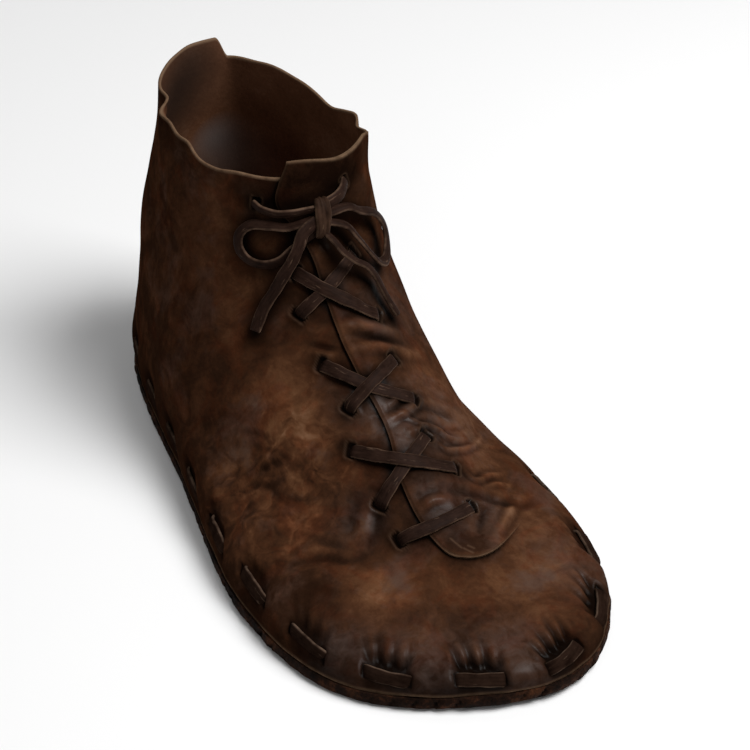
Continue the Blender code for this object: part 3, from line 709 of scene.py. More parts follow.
# Edges that turn by more than this, in degrees, are shaded sharp
SHARP_ANGLE = 50


def grid_faces(grid):
    """Faces between the rows and columns of a grid of point numbers."""
    corners = (grid[:-1, :-1], grid[:-1, 1:], grid[1:, 1:], grid[1:, :-1])
    return np.stack(corners, axis=-1).reshape(-1, 4)


def ring_faces(rows, columns, joined=False):
    """Faces between rings of points, with the last ring joined to the first if asked."""
    grid = np.arange(rows * columns).reshape(rows, columns)
    grid = np.hstack([grid, grid[:, :1]])
    return grid_faces(np.vstack([grid, grid[:1]]) if joined else grid).tolist()


# Grid of the upper: columns for each unit around, and rows for each section
COLUMN_DENSITY = ((0.0, 58), (1.1, 58), (1.5, 38), (3.0, 38), (3.4, 32), (5.0, 32))
SECTION_ROWS = (10, 20, 26, 30, 30, 30, 27, 18)
INSIDE_ROWS = 36
# The collar's rim: the share of the wall that is shaved off, the band it takes, and its rounded shoulders
RIM_SKIVE, RIM_SKIVE_BAND = 0.45, 0.45
RIM_SHOULDER = 0.3 * MM
# Small waves and paler colour of the cut edges: strength, and the band in section numbers
EDGE_WAVE, EDGE_WAVE_SIZE = 0.5 * MM, 9 * MM
FOOT_WAVE_BAND, COLLAR_WAVE_BAND = 0.5, 0.25
COLLAR_CUT, COLLAR_CUT_BAND = 0.9, 0.02
FOOT_CUT, FOOT_CUT_BAND = 0.75, 0.10
# How far the inner face follows the relief, and how much thinner the wall may get
INNER_FOLLOW, INNER_GAIN = 0.6, 0.8 * MM
# Under the flap the collar drops, in section numbers, with a band around at either end
LAP_DROP = 0.30
LAP_DROP_FROM, LAP_DROP_FROM_BAND = -1.30, 0.35
LAP_DROP_TO, LAP_DROP_TO_BAND = 0.20, 0.2


def column_places():
    """Places around the ring, closer together at the front."""
    reach, density = np.array(COLUMN_DENSITY).T
    fine = np.linspace(0.0, RING_POINTS / 2, 2000)
    count = np.concatenate([[0.0], np.cumsum(np.diff(fine) * np.interp(fine[1:], reach, density))])
    half = int(count[-1])
    side = np.interp(np.arange(half + 1) * count[-1] / half, count, fine)
    return np.concatenate([-side[:0:-1], side[:-1]])


def flap_outline():
    """The flap's free edge and root as dense lists of places."""
    at = np.linspace(0.0, len(FLAP_EDGE) - 1, 120)
    return along_rows(FLAP_EDGE, at), along_rows(FLAP_ROOT_LINE, at)


def inside_outline(around, up, outline):
    """Whether each place lies within a closed outline."""
    inside = np.zeros(len(around), bool)
    for (x0, y0), (x1, y1) in zip(outline, np.roll(outline, -1, axis=0)):
        crosses = (y0 > up) != (y1 > up)
        with np.errstate(divide="ignore", invalid="ignore"):
            meets = x0 + (up - y0) * (x1 - x0) / (y1 - y0)
        inside ^= crosses & (around < meets)
    return inside


# How far the upper sinks under the flap, and the bands beside its edge and root where it comes up again
FLAP_SINK = 1.0 * MM
EDGE_REACH, ROOT_REACH = 12 * MM, 11 * MM
EDGE_BAND_FROM, EDGE_BAND = 0.8 * MM, 3 * MM
ROOT_BAND_FROM, ROOT_BAND = 4 * MM, 7 * MM
# Painted shadow of the flap's edge: a fine line, a soft one beside it, and the dark beneath
LINE_SHADOW, LINE_WIDTH = 0.9, 0.9 * MM
BESIDE_SHADOW, BESIDE_WIDTH = 0.3, 4 * MM
BENEATH_FROM, BENEATH_BAND = 6 * MM, 4 * MM
# Share along the flap's edge from which its shadow fades out
SHADOW_FADE_FROM, SHADOW_FADE_BAND = 0.84, 0.14


def tuck_under_flap(relief):
    """Sink the upper below the flap, and draw the shadow along its free edge."""
    edge, root = flap_outline()
    covered = inside_outline(relief.around, relief.up, np.vstack([edge, root[::-1]]))
    index, away, place = near_line(relief.base, skin(*edge.T, 0.0), EDGE_REACH)
    from_edge = np.full(len(relief.up), EDGE_REACH)
    from_edge[index] = away
    root_index, root_away, _ = near_line(relief.base, skin(*root.T, 0.0), ROOT_REACH)
    from_root = np.full(len(relief.up), ROOT_REACH)
    from_root[root_index] = root_away
    sink = FLAP_SINK * smooth_step((from_edge - EDGE_BAND_FROM) / EDGE_BAND)
    sink = sink * smooth_step((from_root - ROOT_BAND_FROM) / ROOT_BAND)
    relief.lift -= np.where(covered, sink, 0.0)
    fade = 1.0 - smooth_step((place - SHADOW_FADE_FROM) / SHADOW_FADE_BAND)
    beneath = 1.0 - smooth_step((away - BENEATH_FROM) / BENEATH_BAND)
    line = np.where(covered[index], beneath, hump(away, LINE_WIDTH))
    relief.dirt[index] += (LINE_SHADOW * line + BESIDE_SHADOW * hump(away, BESIDE_WIDTH)) * fade


def make_upper(hide, flesh):
    """The hollow upper: outer face, collar rim, inner face and foot rim in one closed mesh."""
    columns = column_places()
    count = len(columns)
    starts = np.concatenate([[0], np.cumsum(SECTION_ROWS)])
    levels = np.interp(np.arange(starts[-1] + 1), starts, np.arange(len(SECTIONS)))
    around, up = (grid.ravel() for grid in np.meshgrid(columns, levels))
    lapped = smooth_step((around - LAP_DROP_FROM) / LAP_DROP_FROM_BAND)
    lapped = lapped * (1 - smooth_step((around - LAP_DROP_TO) / LAP_DROP_TO_BAND))
    up = up - LAP_DROP * lapped * smooth_step(up - COLLAR + 1.0)
    relief = Relief(around, up)
    tuck_under_flap(relief)
    wave = EDGE_WAVE * lumps(relief.base + 3.0, EDGE_WAVE_SIZE)
    outside = relief.points(0.0)
    outside[:, 2] += wave * (hump(up, FOOT_WAVE_BAND) + hump(up - COLLAR, COLLAR_WAVE_BAND))
    outside[:count, 2] = np.maximum(outside[:count, 2], SEAT)
    top = outside[-count:]
    rising = unit(top - outside[-2 * count:-count])
    inward = -last_normal(around[-count:], up[-count:])
    rim = WALL * (1.0 - RIM_SKIVE)
    rims = [top + inward * depth + rising * RIM_SHOULDER for depth in (RIM_SHOULDER, rim - RIM_SHOULDER)]
    inner_rows = np.round(np.linspace(len(levels) - 1, 0, INSIDE_ROWS)).astype(int)
    inner_rows = np.insert(inner_rows, 1, len(levels) - 2)
    inner_pick = (inner_rows[:, None] * count + np.arange(count)).ravel()
    skive = RIM_SKIVE * (1.0 - smooth_step((COLLAR - up[inner_pick]) / RIM_SKIVE_BAND))
    outer_lift = relief.lift[inner_pick]
    inner_lift = np.minimum(INNER_FOLLOW * np.clip(outer_lift, -MM, MM), outer_lift + INNER_GAIN)
    inner = skin(around[inner_pick], up[inner_pick], inner_lift - WALL * (1.0 - skive))
    inner[:count] = top + inward * rim
    inner[-count:, 2] = outside[:count, 2]
    points = np.vstack([outside, *rims, inner])
    faces = ring_faces(len(points) // count, count, joined=True)
    piece = mesh_object("hide_upper", points, faces, (hide, flesh), "upper")
    second_material(piece, slice((len(levels) - 1 + len(rims)) * count, None))
    cut = COLLAR_CUT * hump(up - COLLAR, COLLAR_CUT_BAND) * (1 - lapped) + FOOT_CUT * hump(up, FOOT_CUT_BAND)
    # Painted sheen and painted shade on the inner face inside the heel
    inside_sheen_and_shade = patch_tone(inner, INSIDE_SHEEN_AND_SHADE, -WALL)
    store(piece.data, tone=relief.tone, dirt=relief.dirt, lip=relief.lip,
          cut=np.concatenate([cut, np.ones((len(rims) + 1) * count)]),
          plates=patch_tone(outside, PLATES), dust=patch_tone(outside, DUST_AND_SHEEN),
          inside=np.concatenate([np.zeros(len(points) - len(inner)), inside_sheen_and_shade]))
    store(piece.data, SLIT_FAR, slit=relief.slit)


FLAP_ROWS = 300
FLAP_COLUMNS = 110
# Columns crowd towards the free edge by this power
FLAP_CROWDING = 1.7
# Shares along the flap's edge where it runs out and where its tip begins, and shares across it
FLAP_RUN_OUT_FROM, FLAP_TIP_FROM, FLAP_TIP_BAND = 0.86, 0.60, 0.10
FLAP_THIN_FROM, FLAP_DIVE_FROM = 0.30, 0.90
# The share of the thickness that is left at the flap's edge
FLAP_EDGE_SHARE = 0.62
# Its underside: its height, how much higher it is at the edge, and the least thickness over it
FLAP_LOW, FLAP_EDGE_LOW = -0.45 * MM, 0.55 * MM
FLAP_LEAST = 0.35 * MM
FLAP_ROUND, FLAP_TOP_ROUND, FLAP_LOW_BAND = 1.3 * MM, 1.0 * MM, 5 * MM
# Paler colour of the flap's cut edge, more at its tip, and of the rubbed band beside it
FLAP_CUT, FLAP_TIP_CUT, FLAP_CUT_WIDTH, FLAP_LOW_CUT_WIDTH = 0.12, 0.5, 0.7 * MM, 0.3 * MM
FLAP_RUB, FLAP_RUB_AT, FLAP_RUB_WIDTH = 0.15, 1.2 * MM, 1.6 * MM


def make_front_lap(hide, flesh):
    """The lapped front edge: free on the outer side, running into the upper on the inner side."""
    at = np.linspace(0.0, len(FLAP_EDGE) - 1, FLAP_ROWS)
    edge = along_rows(FLAP_EDGE, at)
    root = along_rows(FLAP_ROOT_LINE, at)
    share = np.linspace(0.0, 1.0, FLAP_COLUMNS) ** FLAP_CROWDING
    places = edge[:, None, :] + (root - edge)[:, None, :] * share[None, :, None]
    around, up = places.reshape(-1, 2).T
    sag = hump(around - FLAP_SAG_AT, FLAP_SAG_HALF)
    up = up - FLAP_SAG * sag * smooth_step((up - FLAP_SAG_FROM) / (COLLAR - FLAP_SAG_FROM))
    relief = Relief(around, up)
    grid = relief.base.reshape(FLAP_ROWS, FLAP_COLUMNS, 3)
    from_edge = np.linalg.norm(grid - grid[:, :1], axis=2).ravel()
    from_top = np.linalg.norm(grid - grid[:1], axis=2).ravel()
    across = np.tile(share, FLAP_ROWS)
    down = np.repeat(at, FLAP_COLUMNS) / at[-1]
    run_out = 1.0 - smooth_step((down - FLAP_RUN_OUT_FROM) / (1.0 - FLAP_RUN_OUT_FROM))
    body = (1.0 - smooth_step((across - FLAP_THIN_FROM) / (1.0 - FLAP_THIN_FROM))) * run_out
    rounding = np.minimum(smooth_step(from_edge / FLAP_ROUND), smooth_step(from_top / FLAP_TOP_ROUND))
    high = FLAP_THICK * body * (FLAP_EDGE_SHARE + (1.0 - FLAP_EDGE_SHARE) * rounding)
    high = high - FLAP_ROOT_DIVE * smooth_step((across - FLAP_DIVE_FROM) / (1.0 - FLAP_DIVE_FROM))
    low = FLAP_EDGE_LOW * run_out * (1.0 - smooth_step(from_edge / FLAP_LOW_BAND)) + FLAP_LOW
    points = np.vstack([relief.points(high), relief.points(np.minimum(low, high - FLAP_LEAST))])
    total = len(across)
    number = np.arange(total).reshape(FLAP_ROWS, FLAP_COLUMNS)
    quads = grid_faces(number.T)
    border = np.concatenate([number[0], number[1:, -1], number[-1, -2::-1], number[-2:0:-1, 0]])
    following = np.roll(border, -1)
    walls = np.stack([border, following, total + following, total + border], axis=1)
    faces = np.vstack([quads, total + quads[:, ::-1], walls]).tolist()
    piece = mesh_object("hide_front_lap", points, faces, (hide, flesh), "upper")
    piece.data.set_sharp_from_angle(angle=np.radians(SHARP_ANGLE))
    second_material(piece, slice(len(quads), 2 * len(quads)))
    tip = smooth_step((down - FLAP_TIP_FROM) / FLAP_TIP_BAND)
    cut = (FLAP_CUT + FLAP_TIP_CUT * tip) * hump(from_edge, FLAP_CUT_WIDTH) * run_out
    cut = cut + hump(from_top, FLAP_CUT_WIDTH)
    low_cut = np.maximum(cut, hump(from_top, FLAP_LOW_CUT_WIDTH))
    tone = relief.tone + FLAP_RUB * hump(from_edge - FLAP_RUB_AT, FLAP_RUB_WIDTH) * run_out
    both = {"tone": tone, "dirt": relief.dirt, "dust": patch_tone(relief.base, DUST_AND_SHEEN),
            "slit": relief.slit, "lip": relief.lip}
    store(piece.data, cut=np.concatenate([cut, low_cut]),
          **{name: np.tile(values, 2) for name, values in both.items()})


SOLE_COLUMNS = 640
SOLE_SIDE_ROWS = 9
# The sole's rough side: slanting notches, a swell and lumps
NOTCHES = 92
NOTCH_SLANT, NOTCH_POWER = 0.35, 6
NOTCH_DEPTH = 1.6 * MM
NOTCH_LOW, NOTCH_SPAN = 0.15, 0.8
UNEVEN_RUN, UNEVEN_SWAY_RUN = 7.3 * MM, 23 * MM
SIDE_INSET = 0.5 * MM
SIDE_SWELL = 0.5 * MM
ROUGH_DEPTH, ROUGH_SIZE = 0.45 * MM, 5 * MM
# Dirt on the side, with painted shade in the notches and hollows, and dirt on the underside and on the bed
SIDE_DIRT, NOTCH_SHADE, ROUGH_SHADE = 0.15, 1.25, 0.35
UNDERSIDE_DIRT, BED_DIRT = 0.3, 0.2


def arch_lift(points):
    """How far the underside leaves the floor at the waist, more on the inner side of the foot."""
    reach = np.clip(np.abs(points[:, 1] - ARCH_AT) / ARCH_HALF, 0.0, 1.0)
    inner = smooth_step(points[:, 0] / BALL_WIDTH + 0.5)
    return ARCH_LIFT * np.cos(reach * np.pi / 2) ** 2 * (ARCH_OUTER_SHARE + (1 - ARCH_OUTER_SHARE) * inner)


def make_sole(sole_hide):
    """The sole: a slab with a rough notched side and a low bed inside the upper."""
    around = np.linspace(0.0, RING_POINTS, SOLE_COLUMNS, endpoint=False)
    feather = np.zeros(SOLE_COLUMNS)
    flat_out = last_normal(around, feather)
    flat_out[:, 2] = 0.0
    flat_out = unit(flat_out)
    outline = last_point(around, feather)

    def ring(outset, height):
        points = outline + flat_out * np.broadcast_to(outset, SOLE_COLUMNS)[:, None]
        points[:, 2] = height
        return points

    edge_run = np.cumsum(np.linalg.norm(outline - np.roll(outline, 1, axis=0), axis=1))
    uneven = 0.5 + 0.5 * np.sin(edge_run / UNEVEN_RUN + 2 * np.sin(edge_run / UNEVEN_SWAY_RUN))
    bed_inset = -(WALL + 2 * GAP + BED_RISE)
    underside = ring(SOLE_MARGIN - SOLE_EDGE_TUCK, 0.0)
    underside[:, 2] = arch_lift(underside)
    rings = [underside]
    dirt = [np.full(SOLE_COLUMNS, UNDERSIDE_DIRT)]
    for row in range(SOLE_SIDE_ROWS):
        level = row / (SOLE_SIDE_ROWS - 1)
        height = SOLE_EDGE_TUCK * 0.5 + (SOLE_THICK - SOLE_EDGE_TUCK * 0.5) * level
        slant = edge_run / edge_run[-1] * NOTCHES + NOTCH_SLANT * level
        gash = np.clip(np.cos(slant * 2 * np.pi), 0, 1) ** NOTCH_POWER * uneven
        gash = gash * np.sin(np.pi * (NOTCH_LOW + NOTCH_SPAN * level))
        rough = lumps(ring(0.0, height), ROUGH_SIZE)
        swell = SIDE_SWELL * np.sin(np.pi * level)
        points = ring(SOLE_MARGIN - SIDE_INSET + swell + ROUGH_DEPTH * rough - NOTCH_DEPTH * gash, height)
        points[:, 2] += arch_lift(points) * (1.0 - level)
        rings.append(points)
        dirt.append(SIDE_DIRT + NOTCH_SHADE * gash + ROUGH_SHADE * np.clip(-rough, 0, 1))
    rings.append(ring(bed_inset + BED_RISE, SOLE_THICK))
    rings.append(ring(bed_inset, SOLE_THICK + BED_RISE))
    dirt += [np.full(SOLE_COLUMNS, BED_DIRT)] * 2
    faces = ring_faces(len(rings), SOLE_COLUMNS)
    half = SOLE_COLUMNS // 2
    for start, turned in ((0, True), ((len(rings) - 1) * SOLE_COLUMNS, False)):
        for column in range(half):
            corners = (column, column + 1, SOLE_COLUMNS - column - 1, (SOLE_COLUMNS - column) % SOLE_COLUMNS)
            corners = [start + corner for corner in dict.fromkeys(corners)]
            faces.append(corners[::-1] if turned else corners)
    piece = mesh_object("hide_sole", toe_spring(np.vstack(rings)), faces, (sole_hide,), "sole")
    piece.data.set_sharp_from_angle(angle=np.radians(SHARP_ANGLE))
    store(piece.data, dirt=np.concatenate(dirt))


# Cross-sections of a flat thong, a thicker lace and the round knot: a power near 0 makes a side square
Profile = namedtuple("Profile", "points side_power face_power")
FLAT = Profile(18, 0.42, 0.62)
PLUMP = Profile(20, 0.60, 0.85)
ROUND = Profile(40, 0.75, 0.80)
FOLD_WIDTH = 0.15
CROWN = 0.16
TIP_SHARE = 0.86
# Uneven width of a thong: share of it and length of each wave
Wave = namedtuple("Wave", "share run")
WIDE_WAVE = Wave(0.045, 2.9 * MM)
FINE_WAVE = Wave(0.03, 1.1 * MM)
# Cut edges start at this share of the half width
CUT_EDGE_FROM = 0.85
# Thongs differ by a number made from their names, and lie this far apart in the noise
SEEDS, SEED_STEP = 97, 0.013


def ribbon_frame(centre, normals, turn):
    """Side and outward directions of a flat lace along a line, turned about it by degrees."""
    tangent = unit(np.gradient(centre, axis=0))
    side = unit(np.cross(normals, tangent))
    out = np.cross(tangent, side)
    angle = np.radians(np.broadcast_to(turn, len(centre)))[:, None]
    return side * np.cos(angle) + out * np.sin(angle), out * np.cos(angle) - side * np.sin(angle)


def strip_mesh(name, node, line, width, thick, material, profile=FLAT, folds=()):
    """A leather thong along a line with its normals and turn: a little uneven, closed at both ends."""
    centre, normals, turn = line
    side, out = ribbon_frame(centre, normals, turn)
    angle = 2 * np.pi * (np.arange(profile.points) + 0.5) / profile.points
    across = np.sign(np.cos(angle)) * np.abs(np.cos(angle)) ** profile.side_power
    height = np.sign(np.sin(angle)) * np.abs(np.sin(angle)) ** profile.face_power
    count = len(centre)
    run = run_along(centre)
    seed = sum(map(ord, name)) % SEEDS
    uneven = 1.0 + WIDE_WAVE.share * np.sin(run / WIDE_WAVE.run + seed)
    uneven += FINE_WAVE.share * np.sin(run / FINE_WAVE.run + 2 * seed)
    tip = np.ones(count)
    tip[[0, -1]] = TIP_SHARE
    half = np.broadcast_to(width, count) / 2 * uneven * tip
    deep = np.broadcast_to(thick, count) / 2 * tip
    crown = CROWN * deep[:, None] * (1.0 - across[None, :] ** 2)
    fold = np.zeros(len(across))
    for place, depth in folds:
        fold += depth * MM * hump(across - place, FOLD_WIDTH) * (height > 0)
    points = (centre[:, None, :]
              + side[:, None, :] * (half[:, None] * across[None, :])[:, :, None]
              + out[:, None, :] * (deep[:, None] * height[None, :] + crown - fold)[:, :, None])
    faces = [face[::-1] for face in ring_faces(count, profile.points)]
    faces.append(list(range(profile.points)))
    faces.append([(count - 1) * profile.points + corner for corner in reversed(range(profile.points))])
    piece = mesh_object(name, points.reshape(-1, 3), faces, (material,), node)
    edge = smooth_step((np.abs(across) - CUT_EDGE_FROM) / (1.0 - CUT_EDGE_FROM))
    store(piece.data, edge=np.tile(edge, count))
    strip = np.zeros((count, profile.points, 3), np.float32)
    strip[:, :, 0] = run[:, None]
    strip[:, :, 1] = across[None, :] * half[:, None]
    strip[:, :, 2] = seed * SEED_STEP
    piece.data.attributes.new("strip", "FLOAT_VECTOR", "POINT").data.foreach_set("vector", strip.ravel())
    return piece


STRAP_STEPS = 56
DIVE, DIVE_RUN = 3.4 * MM, 3.0 * MM
STRAP_WOBBLE = 4.0
# The upper strap of a crossing rises over the lower one, and the lower one dips, over this share of it
CROSS_BAND = 0.22
CROSS_DIP = 0.35 * MM


def make_straps(lace):
    """The crossings and the bar: each strap dives into its slits at both ends."""
    share = np.linspace(0.0, 1.0, STRAP_STEPS)
    for node, name, strap, extra in all_straps():
        around, up = straight_way(strap, share)
        climb = (strap.outer[0] - around) / (strap.outer[0] - STRAP_OVER_FLAP_AT)
        dip = CROSS_DIP if extra == 0.0 and node != "lace_bar" else 0.0
        over = (extra * 2.0 - dip) * hump(share - 0.5, CROSS_BAND, 4)
        run = run_along(skin(around, up, 0.0))
        from_end = np.minimum(run, run[-1] - run)
        dive = DIVE * (1.0 - smooth_step(from_end / DIVE_RUN))
        lift = FLAP_THICK * smooth_step(climb) - STRAP_PRESS + over + THONG_THICK / 2 - dive
        wobble = STRAP_WOBBLE * np.sin(share * 5.0 + len(name))
        line = (skin(around, up, lift), last_normal(around, up), wobble)
        strip_mesh(name, node, line, THONG_WIDTH, THONG_THICK, lace)


STITCH_STEPS = 36
STITCH_OVERRUN = 0.8 * MM
STITCH_DIVE_RUN = 2.3 * MM
STITCH_WOBBLE = 5.0
# Seats are averaged over this many steps
SEAT_STEPS = 7
# The stitches of the outer ball are turned, with their upper edge raised
STITCH_TURN = 34.0
STITCH_TURN_AT, STITCH_TURN_HALF = 3.0, 1.6


def make_stitches(thong):
    """Thong stitches round the foot of the upper, each diving into the hide at both ends."""
    offsets = np.linspace(-0.5, 0.5, STITCH_STEPS) * (STITCH_LENGTH + 2 * STITCH_OVERRUN)
    from_end = STITCH_LENGTH / 2 + STITCH_OVERRUN - np.abs(offsets)
    lift = STITCH_SEAT - STITCH_DIVE * (1.0 - smooth_step(from_end / STITCH_DIVE_RUN))
    numbers = np.arange(STITCHES)[:, None]
    places = np.mod(stitch_first + stitch_pitch * numbers + offsets, run_length[-1])
    around = np.interp(places, run_length, run_around)
    up = stitch_up(numbers, around)
    hide_lift = Relief(around.ravel(), up.ravel()).lift.reshape(around.shape)
    for number in range(STITCHES):
        padded = np.pad(hide_lift[number], SEAT_STEPS // 2, "edge")
        seat = np.convolve(padded, np.full(SEAT_STEPS, 1 / SEAT_STEPS), "valid")
        turn = STITCH_WOBBLE * np.sin(number * 1.7)
        turn -= STITCH_TURN * hump(number - STITCH_TURN_AT, STITCH_TURN_HALF)
        line = (skin(around[number], up[number], lift + seat), last_normal(around[number], up[number]), turn)
        name = f"stitch_thong_{number + 1:02d}"
        node = f"sole_stitch_{number + 1:02d}"
        strip_mesh(name, node, line, STITCH_WIDTH, STITCH_THICK, thong)


BOW_STEP = 0.7 * MM
BOW_STEPS_LEAST = 12
KNOT_LENGTH_HALF = 6.6 * MM
KNOT_DEPTH = 2.4 * MM
KNOT_WIDTH = 6.4 * MM
KNOT_THICK = 3.0 * MM
KNOT_FOLDS = ((-0.25, 0.95), (0.45, 0.40))
KNOT_STEPS = 40
KNOT_SWAY = 0.9 * MM
KNOT_TURN = 1.9
KNOT_NEAR = 12 * MM
KNOT_INSET = 3.0 * MM
knot_centre = skin([KNOT_AT[0]], [KNOT_AT[1]], KNOT_AT[2] * MM)[0]


def bow_line(name):
    """Centre line, normals and turn of a lace of the bow, with its ends pushed into the knot."""
    route = np.array(BOW_ROUTES[name], float)
    places = skin(route[:, 0], route[:, 1], route[:, 2] * MM)
    if np.linalg.norm(places[0] - knot_centre) < KNOT_NEAR:
        places[0] += unit(places[0] - places[1]) * KNOT_INSET
    if np.linalg.norm(places[-1] - knot_centre) < KNOT_NEAR:
        places[-1] += unit(places[-1] - places[-2]) * KNOT_INSET
    at = np.linspace(0.0, len(route) - 1, max(BOW_STEPS_LEAST, int(run_along(places)[-1] / BOW_STEP)))
    around, up, _, turn = along_rows(route, at).T
    return along_rows(places, at), last_normal(around, up), turn


def make_bow(lace, worn_lace):
    """The knot, its two short runs, the loops and the loose ends."""
    pieces = {}
    centres = {}
    for name in BOW_ROUTES:
        line = bow_line(name)
        piece_name = name.replace("lace_", "bow_")
        width = BOW_WIDTHS[name] * MM
        profile = FLAT if "end_outer" in name else PLUMP
        pieces[name] = strip_mesh(piece_name, name, line, width, BOW_THICK, lace, profile)
        centres[name] = line[0]
    pieces["lace_knot"] = make_knot(worn_lace)
    partners = {
        "lace_loop_outer": [pieces["lace_knot"]],
        "lace_loop_inner": [],
        "lace_end_outer": [pieces["lace_run_outer"]],
        "lace_end_inner": [pieces["lace_run_inner"]],
    }
    for name, held in partners.items():
        line = centres[name]


def make_knot(lace):
    """The wrap of the knot: a folded thong that arches over the bow."""
    around, up = np.array(KNOT_AT[:1]), np.array(KNOT_AT[1:2])
    normal = last_normal(around, up)[0]
    rising = skin(around, up + 0.1, KNOT_AT[2] * MM)[0] - knot_centre
    rising = unit(rising - normal * (rising @ normal))
    beside = np.cross(rising, normal)
    angle = np.linspace(-KNOT_TURN, KNOT_TURN, KNOT_STEPS)
    centre = (knot_centre + np.outer(np.sin(angle) * KNOT_LENGTH_HALF, rising)
              + np.outer(np.cos(angle) * KNOT_DEPTH, normal) + np.outer(KNOT_SWAY * np.sin(angle), beside))
    normals = np.outer(np.cos(angle), normal) + np.outer(np.sin(angle), rising)
    swell = 0.60 + 0.40 * np.cos(angle * 0.8)
    return strip_mesh("bow_knot", "lace_knot", (centre, normals, 0.0), KNOT_WIDTH * swell, KNOT_THICK * swell,
                      lace, ROUND, KNOT_FOLDS)


# A shift that keeps one noise apart from another
NOISE_SHIFT = (0.37, 0.61, 0.23)


class Shading:
    """A material and short ways to add nodes to it."""

    def __init__(self, name):
        self.material = bpy.data.materials.new(name)
        self.material.use_nodes = True
        self.nodes = self.material.node_tree.nodes
        self.object_place = self.add("TexCoord", "Object", {})
        self.shifted = self.add("VectorMath", "Vector", {0: self.object_place, 1: NOISE_SHIFT})

    def put(self, value, socket):
        """Give a socket a value, or link it to another socket."""
        if isinstance(value, bpy.types.NodeSocket):
            self.material.node_tree.links.new(value, socket)
        else:
            socket.default_value = value

    def add(self, kind, output, inputs, **settings):
        """A new node with its inputs, by name or number, and its settings: one of its outputs."""
        node = self.nodes.new("ShaderNode" + kind)
        for name, value in settings.items():
            setattr(node, name, value)
        for name, value in inputs.items():
            self.put(value, node.inputs[name])
        return node.outputs[output]

    def attribute(self, name, output="Fac"):
        return self.add("Attribute", output, {}, attribute_name=name)

    def noise(self, size, detail=4.0, roughness=0.55, place=None, distortion=0.0):
        """Noise whose spots are about this many metres across."""
        place = self.object_place if place is None else place
        return self.add("TexNoise", "Fac", {
            "Vector": place, "Scale": 1.0 / size, "Detail": detail, "Roughness": roughness,
            "Distortion": distortion})

    def bend(self, size, reach):
        """Object places pushed about by noise, for bent lines."""
        place = self.object_place
        push = self.add("TexNoise", "Color", {"Vector": place, "Scale": 1.0 / size, "Detail": 2.0})
        inputs = {0: push, 1: (reach, reach, reach), 2: place}
        return self.add("VectorMath", "Vector", inputs, operation="MULTIPLY_ADD")

    def cells(self, size, feature, place=None):
        place = self.object_place if place is None else place
        return self.add("TexVoronoi", "Distance", {"Vector": place, "Scale": 1.0 / size}, feature=feature)

    def math(self, operation, first, second, clamp=False):
        return self.add("Math", 0, {0: first, 1: second}, operation=operation, use_clamp=clamp)

    def weigh(self, value, weight, middle=0.5):
        """(value - middle) * weight"""
        return self.math("MULTIPLY", self.math("SUBTRACT", value, middle), weight)

    def total(self, *values):
        result = values[0]
        for value in values[1:]:
            result = self.math("ADD", result, value)
        return result

    def span(self, value, low, high, to_low=0.0, to_high=1.0):
        return self.add("MapRange", "Result", {
            "Value": value, "From Min": low, "From Max": high, "To Min": to_low, "To Max": to_high})

    def ramp(self, value, stops):
        colour = self.add("ValToRGB", "Color", {"Fac": value})
        elements = colour.node.color_ramp.elements
        while len(elements) < len(stops):
            elements.new(0.5)
        for element, (position, stop) in zip(elements, stops):
            element.position = position
            element.color = (*stop, 1.0)
        return colour

    def mix(self, share, *colours, blend="MIX"):
        first, second = (colour if isinstance(colour, bpy.types.NodeSocket) else (*colour, 1.0)
                         for colour in colours)
        return self.add("Mix", 2, {0: share, 6: first, 7: second}, data_type="RGBA", blend_type=blend)

    def bump(self, height, depth, strength, **under):
        """Raise the surface by a height of up to depth metres."""
        inputs = {"Height": height, "Distance": depth, "Strength": strength, **under}
        return self.add("Bump", "Normal", inputs)

    def finish(self, **inputs):
        """Set the shader's inputs and give back the material."""
        for name, value in inputs.items():
            self.put(value, self.nodes["Principled BSDF"].inputs[name.replace("_", " ")])
        return self.material


# Colours of the leather: the ramps run from the dark to the worn tone
HIDE_RAMP = (
    (0.0, (0.0072, 0.0031, 0.0017)), (0.34, (0.0262, 0.0112, 0.0058)), (0.55, (0.054, 0.0215, 0.0098)),
    (0.75, (0.098, 0.042, 0.0190)), (1.0, (0.17, 0.087, 0.047)))
FLESH_RAMP = (
    (0.25, (0.080, 0.0300, 0.0140)), (0.55, (0.150, 0.0650, 0.0330)), (0.85, (0.240, 0.126, 0.0760)))
SOLE_RAMP = (
    (0.34, (0.003, 0.0014, 0.0008)), (0.52, (0.015, 0.0060, 0.0031)), (0.74, (0.072, 0.026, 0.0110)))
# Grey of the painted sheen and of dust
DUST_AND_SHEEN_GREY = (0.066, 0.043, 0.035)
RUST_TINT = (1.03, 0.76, 0.68)
CUT_EDGE = (0.135, 0.083, 0.050)
LIP = (0.090, 0.050, 0.030)
# Near black of painted shade and of dirt
SHADE_AND_GRIME = (0.004, 0.0020, 0.0012)
# Painted sheen and painted shade inside the heel
FLESH_PAINTED_SHEEN = (0.190, 0.150, 0.135)
FLESH_PAINTED_SHADE = (0.014, 0.0090, 0.0072)
FLOOR_COLOUR = (0.86, 0.86, 0.86, 1.0)

# Looks of the thongs: colours in the grain, over it and where it is worn, and the share of gloss
ThongLook = namedtuple("ThongLook", "name dark light worn gloss")
LACE_LOOK = ThongLook(
    "lace_thong", (0.008, 0.0037, 0.0024), (0.027, 0.0136, 0.0094), (0.110, 0.066, 0.043), 0.02)
KNOT_LOOK = ThongLook(
    "knot_thong", (0.010, 0.0048, 0.0030), (0.046, 0.0240, 0.0148), (0.105, 0.062, 0.038), 0.02)
STITCH_LOOK = ThongLook(
    "stitch_thong", (0.006, 0.0030, 0.0020), (0.023, 0.0122, 0.0082), (0.100, 0.065, 0.045), 0.0)
# Places on a thong are squeezed along it, so that its noise runs in streaks
STREAK_SQUEEZE = (0.16, 1.0, 1.0)


